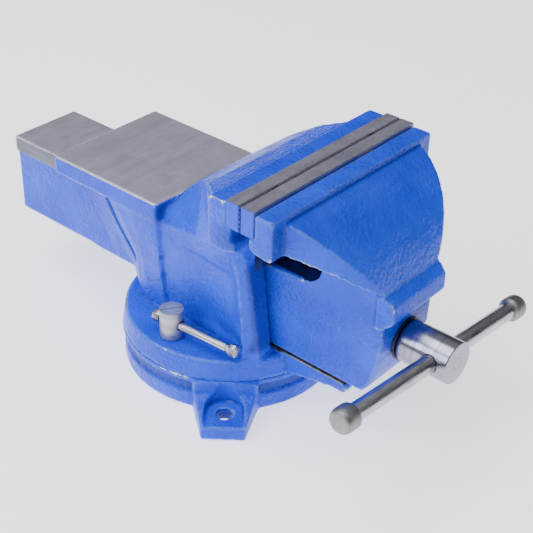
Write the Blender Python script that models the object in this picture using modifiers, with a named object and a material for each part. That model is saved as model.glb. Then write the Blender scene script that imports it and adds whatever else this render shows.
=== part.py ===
"""Bench vise with a swivel base, an anvil and replaceable jaw plates.

Frame: metres, +Z up, +X along the spindle towards the handle. The origin is on the bench, under
the swivel axis. The jaws are closed, the spindle head is at the front and every piece is its own
object. Castings are built from overlapping solids, joined and cut by live Boolean modifiers.
"""
import math

import bmesh
import bpy
from mathutils import Matrix, Vector

# ---------------------------------------------------------------- driving dimensions (metres)
GAP = 0.0003                 # clearance between touching pieces
RUN = 0.0004                 # radial clearance of a turning or sliding fit

JAW_WIDTH = 0.150
JAW_TOP = 0.1698             # top of both jaw castings
JAW_FACE_X = 0.073           # plane where the closed jaws meet
PLATE_THICK = 0.0104
PLATE_TOP = 0.1717
PLATE_HEIGHT = 0.0172

BASE_RADIUS = 0.073          # foot flange
BASE_WAIST = 0.0713
BASE_LIP = 0.0739
BASE_HEIGHT = 0.0246         # level where base and swivel disc meet
FLANGE_HEIGHT = 0.0115
DISC_TOP = 0.0387
DISC_TOP_RADIUS = 0.0716
DISC_ROOT = BASE_HEIGHT + 0.0054        # level inside the disc that the body's columns start from

LUG_ANGLE = math.radians(-50.6)
LUG_COUNT = 2
LUG_REACH = 0.1016           # from the swivel axis to the lug's tip
LUG_LIFT = 0.0002            # the foot ring is faced, so the lugs stand just clear of the bench
LUG_HOLE_REACH = 0.0863
LUG_HOLE_RADIUS = 0.0053
LUG_SEAT_HEIGHT = 0.0095
LUG_SEAT_RADIUS = 0.0127
LUG_CREST = BASE_HEIGHT - 0.0010     # top of the lug where it meets the base's lip
LUG_ROOT_HALF = 0.0222
LUG_TIP_HALF = 0.0139

SLOT_RADIUS = 0.057          # circle of the annular T-slot and of both lock bolts
T_BOLT_RADIUS = 0.005
T_HEAD_HALF = 0.0088
T_HEAD_HEIGHT = 0.0070
SLOT_HALF = T_BOLT_RADIUS + 0.0008      # half the width of the slot's mouth
SLOT_HEAD_HALF = T_HEAD_HALF + 0.0017   # half the width of its undercut
SLOT_NECK = 0.0145           # height of the undercut's roof
SLOT_FLOOR = SLOT_NECK - T_HEAD_HEIGHT - 0.0015
HUB_RECESS = (0.020, 0.041, 0.008)   # inner radius, outer radius and depth of the hollow below
PIVOT_RADIUS = 0.030         # round spigot that the body turns on
PIVOT_TOP = 0.0345
SOCKET_ROOF = 0.0445         # top of the body's round socket over the spigot

ANVIL_REAR = -0.1182
ANVIL_FRONT = -0.0224
ANVIL_HALF = 0.0471
ANVIL_TOP = 0.1223
ANVIL_UNDER = 0.1095
BOX_REAR = -0.183
BOX_HALF = 0.0275
BOX_TOP = 0.1065
BOX_BOTTOM = 0.048
BAND_HEIGHT = 0.0108         # ground band round the rear step
BAND_PROUD = 0.0004
BAND_END = 0.0020            # how far the band stands out behind the step

SPINDLE_Z = 0.0757
SPINDLE_TILT = math.radians(-6.0)   # how far the spindle is turned in the modelled pose
THREAD_RADIUS = 0.0100
THREAD_REAR = -0.175
THREAD_FRONT = 0.085
SHANK_RADIUS = 0.0113
HEAD_RADIUS = 0.0135
HEAD_FRONT = 0.1772
HANDLE_X = 0.1657
HANDLE_RADIUS = 0.0055
HANDLE_KNOB_RADIUS = 0.0079
HANDLE_KNOB_LENGTH = 0.013
HANDLE_REACH = 0.088         # from the bar's middle to the middle of a knob
HANDLE_SHIFT = -0.0048       # how far the bar lies off centre in the modelled pose

BEAM_HALF = 0.0200           # slide beam of the moving jaw
BEAM_BOTTOM = 0.0558
BEAM_TOP = 0.0985
BEAM_REAR = -0.150
BEAM_FIT = 0.0005            # clearance of the beam in its guide
BEAM_WALL = 0.0052
JAW_BOX_REAR = 0.0528        # rear end of the moving jaw's deep part
JAW_BOX_FRONT = 0.140
JAW_BOX_BOTTOM = 0.042
JAW_BOX_TOP = 0.1065
JAW_BOX_HALF = 0.0242        # half width at the bottom
JAW_BOX_FLARE = 0.0073       # what the sides gain by the top
THRUST_WALL = 0.122          # inner side of the wall that the spindle head bears on
THRUST_WASHER = 0.0022       # room between the jaw and the head, which the washer fills
CHAMBER_REAR = 0.090
CHAMBER_HALF = 0.0175
COLLAR_REAR = 0.0953
COLLAR_WIDTH = 0.0078
COLLAR_RADIUS = 0.0150
PIN_RADIUS = 0.0011
PIN_HOLE_RADIUS = 0.0014
SPRING_RADIUS = 0.0143
SPRING_WIRE = 0.0011
SPRING_TURNS = 3.5

LEG_FRONT = 0.0594           # front face of the fixed body
RECESS_REAR = 0.0500         # depth of the pocket that the moving jaw's deep part enters
RECESS_CLEAR = 0.0032
RECESS_TOP = 0.1120
TONGUE_FRONT = 0.117
TONGUE_HALF = 0.0250
TONGUE_TOP = 0.0412

NUT_REAR = -0.030
NUT_FRONT = 0.006
NUT_MIDDLE = (NUT_REAR + NUT_FRONT) / 2
NUT_HALF = 0.0140
NUT_TOP = 0.0895
NUT_BOLT_RADIUS = 0.005
NUT_BOLT_TOP = 0.0620
NUT_BOLT_HEAD_RADIUS = 0.0088
NUT_BOLT_HEAD_HEIGHT = 0.0065
WASHER_HEIGHT = 0.0018
WASHER_RADIUS = 0.0105

LOCK_X = 0.0
T_BOLT_REACH = 0.0055        # of the bolt above the disc, inside the nut
LOCK_NUT_RADIUS = 0.0080
LOCK_NUT_HEIGHT = 0.0205
LOCK_BAR_RADIUS = 0.0031
LOCK_BAR_LENGTH = 0.0610     # from the middle of one end knob to the other
LOCK_BAR_HEIGHT = 0.0100     # of the bar's axis above the nut's foot
LOCK_BAR_TURN = math.radians(4.6)    # outward lean of the tightened bar from the X axis
LOCK_KNOB_RADIUS = 0.0044
LOCK_KNOB_LENGTH = 0.0056

PLATE_SCREW_PITCH = 0.092
PLATE_SCREW_RADIUS = 0.0040
PLATE_SCREW_HEAD = 0.0062
PLATE_SCREW_HEAD_HEIGHT = 0.0050
PLATE_SCREW_SUNK = 0.0008    # how far the head lies below the plate's face
PLATE_SCREW_LENGTH = 0.0205
PLATE_HOLE_DEPTH = PLATE_SCREW_LENGTH + 0.0012
PLATE_SCREW_Z = PLATE_TOP - PLATE_HEIGHT / 2

STEPS = 56                   # sides of the large round castings
FINE = 32                    # sides of the small turned pieces
SIDES = ((-1, "near"), (1, "far"))

ENAMEL = ("cast_enamel", "2C5AD2", 0.32, 0.0)
GROUND = ("jaw_steel", "8E8C94", 0.38, 0.9)
TURNED = ("turned_steel", "B9B8BC", 0.24, 1.0)
DARK = ("spring_steel", "55555C", 0.42, 1.0)
IRON = ("bare_cast_iron", "6E6E74", 0.55, 0.8)


# ---------------------------------------------------------------- scene and materials
def clear_scene():
    for thing in list(bpy.data.objects):
        bpy.data.objects.remove(thing, do_unlink=True)


def new_collection(name):
    group = bpy.data.collections.new(name)
    bpy.context.scene.collection.children.link(group)
    return group


def linear(hex_colour):
    """sRGB hex to the linear colour that a shader takes."""
    out = []
    for start in (0, 2, 4):
        value = int(hex_colour[start:start + 2], 16) / 255
        out.append(value / 12.92 if value <= 0.04045 else ((value + 0.055) / 1.055) ** 2.4)
    return (*out, 1.0)


def make_material(owner, finish):
    slot, colour, roughness, metallic = finish
    made = bpy.data.materials.new(f"{slot}_{owner}")
    made.use_nodes = True
    shader = made.node_tree.nodes["Principled BSDF"]
    shader.inputs["Base Color"].default_value = linear(colour)
    shader.inputs["Roughness"].default_value = roughness
    shader.inputs["Metallic"].default_value = metallic
    return made


def add_object(name, mesh, group):
    made = bpy.data.objects.new(name, mesh)
    group.objects.link(made)
    return made


def part(name, mesh, finish):
    """One piece of the vise: an object in the parts collection with its own material."""
    made = add_object(name, mesh, PARTS)
    made.data.materials.append(make_material(name, finish))
    return made


def tool(name, mesh):
    """A solid that only joins or cuts another: wire on screen and left out of the model."""
    made = add_object(name, mesh, CUTTERS)
    made.hide_render = True
    made.display_type = "WIRE"
    return made


def shape_by(target, mesh, operation, label, solver="EXACT"):
    """Adds one live Boolean to target, with its own tool object."""
    helper = tool(f"{target.name}_{label}", mesh)
    helper.parent = target
    step = target.modifiers.new(label, "BOOLEAN")
    step.operation = operation
    step.solver = solver
    step.object = helper


def unite(target, mesh, label, solver="EXACT"):
    shape_by(target, mesh, "UNION", label, solver)


def cut(target, mesh, label):
    shape_by(target, mesh, "DIFFERENCE", label)


# ---------------------------------------------------------------- meshes
def finish_mesh(name, bm):
    """Turns every face outwards and hands the mesh over."""
    bmesh.ops.recalc_face_normals(bm, faces=bm.faces)
    if bm.calc_volume(signed=True) < 0:
        bmesh.ops.reverse_faces(bm, faces=bm.faces)
    mesh = bpy.data.meshes.new(name)
    bm.to_mesh(mesh)
    bm.free()
    return mesh


def box(low, high):
    bm = bmesh.new()
    size = [b - a for a, b in zip(low, high)]
    centre = [(a + b) / 2 for a, b in zip(low, high)]
    bmesh.ops.create_cube(bm, size=1.0, matrix=Matrix.Translation(centre) @ Matrix.Diagonal((*size, 1)))
    return finish_mesh("box", bm)


AXES = {"X": Matrix.Rotation(math.pi / 2, 4, "Y"),
        "Y": Matrix.Rotation(-math.pi / 2, 4, "X"),
        "Z": Matrix.Identity(4)}


def cylinder(radius, start, end, axis="Z", centre=(0, 0), sides=FINE, end_radius=None):
    """A round bar from start to end along axis; centre gives the two other coordinates."""
    bm = bmesh.new()
    far = radius if end_radius is None else end_radius
    bmesh.ops.create_cone(bm, cap_ends=True, segments=sides, radius1=radius, radius2=far,
                          depth=end - start)
    middle = (start + end) / 2
    place = {"X": (middle, *centre), "Y": (centre[0], middle, centre[1]), "Z": (*centre, middle)}[axis]
    bm.transform(Matrix.Translation(place) @ AXES[axis])
    return finish_mesh("cylinder", bm)


def outline_solid(points, low, high, plane="XZ"):
    """A flat outline, drawn as a filled 2D curve and given its thickness along the third axis."""
    curve = bpy.data.curves.new("outline", "CURVE")
    curve.dimensions = "2D"
    curve.fill_mode = "BOTH"
    curve.extrude = (high - low) / 2
    line = curve.splines.new("POLY")
    line.points.add(len(points) - 1)
    for knot, (across, along) in zip(line.points, points):
        knot.co = (across, along, 0, 1)
    line.use_cyclic_u = True
    drawn = bpy.data.objects.new("outline", curve)
    CUTTERS.objects.link(drawn)
    seen = drawn.evaluated_get(bpy.context.evaluated_depsgraph_get())
    mesh = bpy.data.meshes.new_from_object(seen)
    bpy.data.objects.remove(drawn, do_unlink=True)
    bpy.data.curves.remove(curve)
    bm = bmesh.new()
    bm.from_mesh(mesh)
    bpy.data.meshes.remove(mesh)
    bmesh.ops.remove_doubles(bm, verts=bm.verts, dist=1e-6)
    middle = (low + high) / 2
    if plane == "XZ":
        bm.transform(Matrix.Translation((0, middle, 0)) @ Matrix.Rotation(math.pi / 2, 4, "X"))
    else:
        bm.transform(Matrix.Translation((0, 0, middle)))
    return finish_mesh("outline", bm)


def loft(sections):
    """A closed solid through sections that hold the same number of points, in order."""
    bm = bmesh.new()
    rings = [[bm.verts.new(point) for point in section] for section in sections]
    count = len(rings[0])
    for lower, upper in zip(rings, rings[1:]):
        for i in range(count):
            after = (i + 1) % count
            bm.faces.new((lower[i], lower[after], upper[after], upper[i]))
    bm.faces.new(list(reversed(rings[0])))
    bm.faces.new(rings[-1])
    bmesh.ops.triangulate(bm, faces=bm.faces)
    return finish_mesh("loft", bm)


def turned(profile, steps=STEPS, axis="Z", place=(0, 0, 0)):
    """A closed profile of (radius, height) points, swept once round the axis by a Screw modifier."""
    outline = bpy.data.meshes.new("profile")
    count = len(profile)
    points = [(radius, 0, height) for radius, height in profile]
    outline.from_pydata(points, [(i, (i + 1) % count) for i in range(count)], [])
    sweep = tool("sweep", outline)
    spin = sweep.modifiers.new("turn", "SCREW")
    spin.steps = steps
    spin.render_steps = steps
    spin.use_merge_vertices = True
    spin.merge_threshold = 0.00005
    spin.use_normal_calculate = True
    mesh = bpy.data.meshes.new_from_object(sweep.evaluated_get(bpy.context.evaluated_depsgraph_get()))
    bpy.data.objects.remove(sweep, do_unlink=True)
    bpy.data.meshes.remove(outline)
    mesh.transform(Matrix.Translation(place) @ AXES[axis])
    bm = bmesh.new()
    bm.from_mesh(mesh)
    bpy.data.meshes.remove(mesh)
    bmesh.ops.remove_doubles(bm, verts=bm.verts, dist=1e-6)
    bmesh.ops.dissolve_degenerate(bm, edges=bm.edges, dist=1e-7)
    loose = [edge for edge in bm.edges if not edge.link_faces]
    bmesh.ops.delete(bm, geom=loose, context="EDGES")
    return finish_mesh("turned", bm)


def arc(centre_x, centre_z, radius, start, end, count):
    """Points along a round stretch of an outline, angles in degrees."""
    turns = [math.radians(start + (end - start) * i / count) for i in range(count + 1)]
    return [(centre_x + radius * math.cos(t), centre_z + radius * math.sin(t)) for t in turns]


def ellipse_height(x, centre_x, reach, base, rise):
    """Height over base of an ellipse with its crown over centre_x and its end at the reach."""
    share = min(1.0, abs(x - centre_x) / reach)
    return base + rise * math.sqrt(1 - share * share)


def mirrored(half):
    """Both sides of an outline given as (y, z) points on the +Y side, bottom to top."""
    return [(y, z) for y, z in half] + [(-y, z) for y, z in reversed(half)]


def x_sections(table):
    """Lofts along X need each (y, z) outline lifted to its station."""
    return [[(x, y, z) for y, z in mirrored(half)] for x, half in table]


def z_sections(table):
    """Lofts along Z: (z, half outline of (x, y) points from rear to front)."""
    return [[(x, y, z) for x, y in half] + [(x, -y, z) for x, y in reversed(half)]
            for z, half in table]


def transformed(mesh, matrix):
    mesh.transform(matrix)
    return mesh


def smooth(made, angle=35):
    made.data.shade_smooth()
    made.data.set_sharp_from_angle(angle=math.radians(angle))


# ---------------------------------------------------------------- swivel base
def base_profile():
    bottom_inner, bottom_outer, recess = HUB_RECESS
    mouth_in, mouth_out = SLOT_RADIUS - SLOT_HALF, SLOT_RADIUS + SLOT_HALF
    under_in, under_out = SLOT_RADIUS - SLOT_HEAD_HALF, SLOT_RADIUS + SLOT_HEAD_HALF
    top = BASE_HEIGHT - GAP
    return [(0.0, 0.0), (bottom_inner, 0.0), (bottom_inner, recess), (bottom_outer, recess),
            (bottom_outer, 0.0), (BASE_RADIUS - 0.001, 0.0), (BASE_RADIUS, 0.001),
            (BASE_RADIUS, FLANGE_HEIGHT), (BASE_WAIST, FLANGE_HEIGHT + 0.0015),
            (BASE_WAIST, BASE_HEIGHT - 0.0055), (BASE_LIP, BASE_HEIGHT - 0.0035), (BASE_LIP, top),
            (mouth_out, top), (mouth_out, SLOT_NECK), (under_out, SLOT_NECK), (under_out, SLOT_FLOOR),
            (under_in, SLOT_FLOOR), (under_in, SLOT_NECK), (mouth_in, SLOT_NECK), (mouth_in, top),
            (PIVOT_RADIUS, top), (PIVOT_RADIUS, PIVOT_TOP), (0.0, PIVOT_TOP)]


def lug_body():
    """One lug along +X: a ramp from the base's lip down to a squared tip, narrowing outwards."""
    root = BASE_WAIST - 0.004
    ramp = LUG_SEAT_HEIGHT + 0.0008
    profile = [(root, LUG_LIFT), (LUG_REACH, LUG_LIFT), (LUG_REACH - 0.0007, ramp),
               (BASE_LIP + 0.0075, ramp + 0.0042), (BASE_LIP + 0.0018, ramp + 0.0066),
               (BASE_LIP + 0.0006, LUG_CREST), (root, LUG_CREST)]
    mesh = outline_solid(profile, -LUG_ROOT_HALF, LUG_ROOT_HALF)
    for vertex in mesh.vertices:
        share = (vertex.co.x - root) / (LUG_REACH - root)
        half = LUG_ROOT_HALF + share * (LUG_TIP_HALF - LUG_ROOT_HALF)
        vertex.co.y = math.copysign(half, vertex.co.y)
    return mesh


def swivel_base():
    base = part("swivel_base", turned(base_profile()), ENAMEL)
    seat_top = LUG_CREST + 0.0004
    for number in range(LUG_COUNT):
        turn = Matrix.Rotation(LUG_ANGLE + number * 2 * math.pi / LUG_COUNT, 4, "Z")
        unite(base, transformed(lug_body(), turn), f"lug_{number}")
        seat = cylinder(LUG_SEAT_RADIUS, LUG_SEAT_HEIGHT, seat_top, centre=(LUG_HOLE_REACH, 0))
        cut(base, transformed(seat, turn), f"seat_{number}")
        mouth = box((LUG_HOLE_REACH, -LUG_SEAT_RADIUS, LUG_SEAT_HEIGHT),
                    (LUG_REACH + 0.005, LUG_SEAT_RADIUS, seat_top))
        cut(base, transformed(mouth, turn), f"seat_mouth_{number}")
        hole = cylinder(LUG_HOLE_RADIUS, -0.005, seat_top, centre=(LUG_HOLE_REACH, 0), sides=24)
        cut(base, transformed(hole, turn), f"hole_{number}")
    smooth(base)


# ---------------------------------------------------------------- fixed body
def column():
    """The waisted middle of the body, between the anvil and the front leg."""
    table = [(DISC_ROOT, [(ANVIL_FRONT - 0.004, 0.0385), (0.020, 0.0394), (0.050, 0.0440)]),
             (DISC_TOP, [(ANVIL_FRONT - 0.004, 0.0385), (0.020, 0.0394), (0.050, 0.0440)]),
             (0.0600, [(ANVIL_FRONT - 0.004, 0.0400), (0.020, 0.0400), (0.050, 0.0445)]),
             (0.0950, [(ANVIL_FRONT - 0.004, 0.0434), (0.020, 0.0438), (0.050, 0.0480)]),
             (0.1100, [(ANVIL_FRONT - 0.004, 0.0440), (0.020, 0.0455), (0.050, 0.0500)])]
    return loft(z_sections(table))


def front_slab():
    """The front leg: narrow at the disc and flaring into the jaw above."""
    jaw = JAW_WIDTH / 2
    table = [(DISC_ROOT, [(0.040, 0.0420), (0.052, 0.0469), (LEG_FRONT, 0.0408)]),
             (DISC_TOP, [(0.040, 0.0422), (0.052, 0.0469), (LEG_FRONT, 0.0408)]),
             (0.0600, [(0.040, 0.0430), (0.052, 0.0478), (LEG_FRONT, 0.0428)]),
             (0.0860, [(0.040, 0.0450), (0.052, 0.0508), (LEG_FRONT, 0.0468)]),
             (0.1050, [(0.042, 0.0480), (0.053, 0.0540), (LEG_FRONT, 0.0502)]),
             (0.1180, [(0.045, 0.0540), (0.053, 0.0575), (LEG_FRONT, 0.0532)]),
             (0.1290, [(0.048, jaw - 0.013), (0.054, jaw - 0.012), (0.0625, jaw - 0.014)]),
             (0.1390, [(0.0488, jaw - 0.0005), (0.056, jaw), (0.0680, jaw - 0.0005)]),
             (0.1480, [(0.0488, jaw), (0.056, jaw), (0.0650, jaw)])]
    return loft(z_sections(table))


def fixed_jaw_block():
    """The jaw head, with the seat for its plate and the rough ledge below it."""
    seat_x = JAW_FACE_X - PLATE_THICK - GAP
    seat_z = PLATE_TOP - PLATE_HEIGHT - GAP
    outline = [(0.0488, 0.1370), (0.0488, JAW_TOP - 0.0008), (0.0496, JAW_TOP), (seat_x, JAW_TOP),
               (seat_x, seat_z), (0.0655, seat_z), (0.0655, 0.1463), (0.0690, 0.1446),
               (0.0680, 0.1390), (0.0620, 0.1370)]
    half = JAW_WIDTH / 2
    return outline_solid(outline, -half, half)


def neck_fan():
    """The shoulder that fans out from the anvil's front edge up to the jaw's back."""
    table = [(ANVIL_FRONT - 0.003, [(0.0430, 0.100), (0.0430, 0.1090), (0.0130, 0.1205)]),
             (-0.0060, [(0.0440, 0.100), (0.0442, 0.1105), (0.0262, 0.1370)]),
             (0.0130, [(0.0450, 0.100), (0.0470, 0.1140), (0.0410, 0.1515)]),
             (0.0270, [(0.0470, 0.100), (0.0510, 0.1190), (0.0525, 0.1590)]),
             (0.0400, [(0.0480, 0.100), (0.0545, 0.1240), (0.0625, 0.1625)]),
             (0.0510, [(0.0490, 0.100), (0.0560, 0.1260), (0.0700, 0.1640)])]
    return loft(x_sections(table))


def under_anvil():
    """The body under the anvil: the rear box's section opening out to the anvil's full width."""
    top = ANVIL_UNDER + 0.003
    inside = BOX_HALF - 0.0003
    floor = BOX_BOTTOM + 0.0002
    table = [(ANVIL_REAR + 0.002, [(inside, floor), (inside - 0.0002, 0.078), (inside, top)]),
             (-0.0980, [(BOX_HALF + 0.0003, floor), (0.0284, 0.078), (0.0300, top)]),
             (-0.0800, [(BOX_HALF + 0.0003, floor), (0.0320, 0.078), (0.0395, top)]),
             (-0.0650, [(BOX_HALF + 0.0003, floor), (0.0365, 0.078), (0.0462, top)]),
             (-0.0480, [(0.0380, 0.0400), (0.0420, 0.078), (0.0466, top)]),
             (-0.0400, [(0.0402, DISC_ROOT), (0.0436, 0.078), (0.0468, top)]),
             (ANVIL_FRONT - 0.0005, [(0.0394, DISC_ROOT), (0.0448, 0.078), (0.0468, top)])]
    return loft(x_sections(table))


def tongue_outline():
    """Side view of the tongue that carries the moving jaw's deep part."""
    return ([(0.045, BASE_HEIGHT + 0.0016), (0.064, BASE_HEIGHT + 0.0006), (TONGUE_FRONT - 0.009, 0.0345)]
            + arc(TONGUE_FRONT - 0.004, TONGUE_TOP - 0.004, 0.004, -50, 90, 4)
            + [(0.045, TONGUE_TOP)])


def recess_half(z):
    """Half width of the front pocket: the moving jaw's own half width and a clearance."""
    share = (z - JAW_BOX_BOTTOM) / (JAW_BOX_TOP - JAW_BOX_BOTTOM)
    return JAW_BOX_HALF + JAW_BOX_FLARE * share + RECESS_CLEAR + 0.0012 * share


def front_recess():
    low, high = TONGUE_TOP, RECESS_TOP
    table = [(z, [(RECESS_REAR, recess_half(z)), (0.080, recess_half(z))]) for z in (low, high)]
    return loft(z_sections(table))


def side_groove(side):
    """The cored groove that runs down the side behind the anvil's support."""
    top, foot = Vector((-0.0830, 0, 0.1040)), Vector((-0.0545, 0, 0.0640))
    run = foot - top
    half = 0.0029
    slope = math.atan2(run.z, run.x)
    outline = arc(0, 0, half, 90, 270, 6) + arc(run.length, 0, half, -90, 90, 6)
    mesh = outline_solid(outline, -0.006, 0.006)
    lean = Matrix.Rotation(-slope, 4, "Y")
    tip = Matrix.Rotation(math.radians(9 * side), 4, "X")
    return transformed(mesh, Matrix.Translation((top.x, side * 0.0420, top.z)) @ tip @ lean)


def add_anvil(body):
    """The rear step, the flared casting under the anvil and the anvil itself."""
    unite(body, box((BOX_REAR, -BOX_HALF, BOX_BOTTOM), (ANVIL_REAR + 0.05, BOX_HALF, BOX_TOP)), "rear_box")
    unite(body, under_anvil(), "under_anvil", "MANIFOLD")   # its sides all but touch the box's
    band = BOX_HALF + BAND_PROUD
    band_low = (BOX_REAR - BAND_END, -band, BOX_TOP - BAND_HEIGHT)
    unite(body, box(band_low, (ANVIL_REAR + 0.004, band, BOX_TOP + 0.0001)), "ground_band")
    anvil_low = (ANVIL_REAR, -ANVIL_HALF, ANVIL_UNDER)
    unite(body, box(anvil_low, (ANVIL_FRONT, ANVIL_HALF, ANVIL_TOP)), "anvil")


def cut_guide(body):
    """The guide that the slide beam runs in, the pocket for the moving jaw and the swivel socket."""
    guide = BEAM_HALF + BEAM_FIT
    floor, roof = BEAM_BOTTOM - GAP, BEAM_TOP + BEAM_FIT
    cut(body, box((BOX_REAR - 0.01, -guide, floor), (LEG_FRONT + 0.01, guide, roof)), "guide")
    cut(body, front_recess(), "recess")
    cut(body, cylinder(PIVOT_RADIUS + RUN, BASE_HEIGHT - 0.0046, SOCKET_ROOF, sides=STEPS), "socket")
    bolt = cylinder(NUT_BOLT_RADIUS + RUN, 0.035, 0.065, centre=(NUT_MIDDLE, 0), sides=24)
    cut(body, bolt, "nut_bolt_hole")


def plate_hole(casting, turn, side):
    """Tapped hole for a plate screw; side is -1 in the fixed jaw and +1 in the moving one."""
    place = (turn * PLATE_SCREW_PITCH / 2, PLATE_SCREW_Z)
    start, end = sorted((JAW_FACE_X, JAW_FACE_X + side * PLATE_HOLE_DEPTH))
    cut(casting, cylinder(PLATE_SCREW_RADIUS + RUN, start, end, "X", place, sides=16), f"plate_hole_{turn}")


def fixed_body():
    disc = cylinder(BASE_LIP, BASE_HEIGHT, DISC_TOP, sides=STEPS, end_radius=DISC_TOP_RADIUS)
    body = part("fixed_body", disc, ENAMEL)
    unite(body, column(), "column")
    unite(body, front_slab(), "front_slab")
    unite(body, fixed_jaw_block(), "jaw_block")
    unite(body, neck_fan(), "neck_fan")
    add_anvil(body)
    unite(body, outline_solid(tongue_outline(), -TONGUE_HALF, TONGUE_HALF), "tongue")
    cut_guide(body)
    for side, label in SIDES:
        cut(body, side_groove(side), f"{label}_groove")
        bolt = cylinder(T_BOLT_RADIUS + RUN, 0.015, 0.060, centre=(LOCK_X, side * SLOT_RADIUS), sides=24)
        cut(body, bolt, f"{label}_bolt_hole")
        plate_hole(body, side, -1)
    smooth(body, 30)
    return body


# ---------------------------------------------------------------- moving jaw
def hood_outline():
    """Side view of the hood: an elliptic back over a thinner elliptic underside."""
    stations = [0.0900, 0.0980, 0.1060, 0.1140, 0.1220, 0.1280, 0.1330, 0.1370, 0.1400, 0.1418]
    back = [(x, ellipse_height(x, 0.080, 0.0630, 0.1032, 0.0648)) for x in stations]
    under = [(x, ellipse_height(x, 0.090, 0.0530, 0.1049, 0.0399)) for x in stations]
    return back + [(0.1425, 0.1130), (0.1418, 0.1080)] + list(reversed(under))[1:]


def hood_plan():
    """Top view of the hood: an elliptic nose, narrow at the front and wide at the jaw."""
    stations = [0.0800, 0.0980, 0.1080, 0.1180, 0.1260, 0.1320, 0.1370, 0.1405]
    far = [(x, ellipse_height(x, 0.080, 0.0630, 0.0117, 0.0542)) for x in stations]
    return far + [(0.150, 0.0200), (0.150, -0.0200)] + [(x, -y) for x, y in reversed(far)]


def jaw_box_half(x, z):
    """Half width of the moving jaw's deep part: drafted, and narrowing towards the front."""
    rise = max(0.0, z - JAW_BOX_BOTTOM) / (JAW_BOX_TOP - JAW_BOX_BOTTOM)
    back = min(1.0, max(0.0, (JAW_BOX_FRONT - x) / (JAW_BOX_FRONT - JAW_BOX_REAR)))
    return JAW_BOX_HALF + 0.0008 * rise + JAW_BOX_FLARE * rise * back


def jaw_box():
    front = JAW_BOX_FRONT
    outline = ([(JAW_BOX_REAR, JAW_BOX_BOTTOM), (0.1275, JAW_BOX_BOTTOM)]
               + [(0.1320, 0.0475), (0.1352, 0.0560), (0.1378, 0.0660), (0.1394, 0.0760)]
               + [(front, 0.0860), (front, 0.1140), (0.1340, 0.1260), (0.1180, 0.1420), (0.0965, 0.1500)]
               + [(0.0965, JAW_BOX_TOP + 0.0125)]
               + arc(0.0845, JAW_BOX_TOP + 0.0120, 0.0120, 0, -90, 5)
               + [(JAW_BOX_REAR, JAW_BOX_TOP)])
    mesh = outline_solid(outline, -JAW_BOX_HALF, JAW_BOX_HALF)
    for vertex in mesh.vertices:
        vertex.co.y = math.copysign(jaw_box_half(vertex.co.x, vertex.co.z), vertex.co.y)
    return mesh


def jaw_head_outline():
    seat_x = JAW_FACE_X + PLATE_THICK + GAP
    seat_z = PLATE_TOP - PLATE_HEIGHT - GAP
    return ([(seat_x, JAW_TOP), (seat_x, seat_z), (0.0796, seat_z), (0.0793, 0.1505), (0.0803, 0.1470),
             (0.0830, 0.1453), (0.0868, 0.1446), (0.0916, 0.1440), (0.0955, 0.1441)]
            + [(0.0965, 0.1452), (0.0965, JAW_TOP - 0.0008), (0.0957, JAW_TOP)])


def front_lip_outline():
    """Side view of the rounded lip across the top of the front face."""
    return ([(0.1360, 0.1172), (0.1410, 0.1178)]
            + arc(0.1400, 0.1100, 0.0078, 75, 0, 6)
            + [(0.1478, 0.1030), (0.1462, 0.1005), (0.1405, 0.0955), (0.1360, 0.0950)])


def lip_solid():
    mesh = outline_solid(front_lip_outline(), -0.0285, 0.0285)
    for vertex in mesh.vertices:
        reach = max(0.0, vertex.co.x - JAW_BOX_FRONT) / 0.0078
        vertex.co.y = math.copysign(0.0262 + 0.0020 * (1 - reach), vertex.co.y)
    return mesh


def hood():
    """The rounded hood: its side view cut to its top view."""
    made = tool("hood", outline_solid(hood_outline(), -0.070, 0.070))
    plan = made.modifiers.new("plan", "BOOLEAN")
    plan.operation = "INTERSECT"
    plan.solver = "EXACT"
    plan.object = tool("hood_plan", outline_solid(hood_plan(), 0.09, 0.19, "XY"))
    plan.object.parent = made
    return made


def hollow_out(jaw):
    """The channel along the beam, the spring's chamber and the spindle's bore."""
    channel = BEAM_HALF - BEAM_WALL
    crown = BEAM_TOP - BEAM_WALL
    below = JAW_BOX_BOTTOM - 0.012
    cut(jaw, box((BEAM_REAR - 0.01, -channel, below), (CHAMBER_REAR + 0.001, channel, crown)), "channel")
    chamber = box((CHAMBER_REAR, -CHAMBER_HALF, below), (THRUST_WALL, CHAMBER_HALF, crown + 0.0035))
    cut(jaw, chamber, "spring_chamber")
    bore = cylinder(SHANK_RADIUS + RUN, THRUST_WALL - 0.012, JAW_BOX_FRONT + 0.020, "X", (0, SPINDLE_Z))
    cut(jaw, bore, "spindle_bore")


def moving_jaw():
    beam = box((BEAM_REAR, -BEAM_HALF, BEAM_BOTTOM), (0.070, BEAM_HALF, BEAM_TOP))
    jaw = part("moving_jaw", beam, ENAMEL)
    half = JAW_WIDTH / 2
    unite(jaw, jaw_box(), "deep_box")
    step = jaw.modifiers.new("hood", "BOOLEAN")
    step.operation = "UNION"
    step.solver = "EXACT"
    step.object = hood()
    step.object.parent = jaw
    unite(jaw, outline_solid(jaw_head_outline(), -half, half), "head")
    unite(jaw, lip_solid(), "lip")
    hollow_out(jaw)
    for turn in (-1, 1):
        plate_hole(jaw, turn, 1)
    smooth(jaw, 30)
    return jaw


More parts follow.
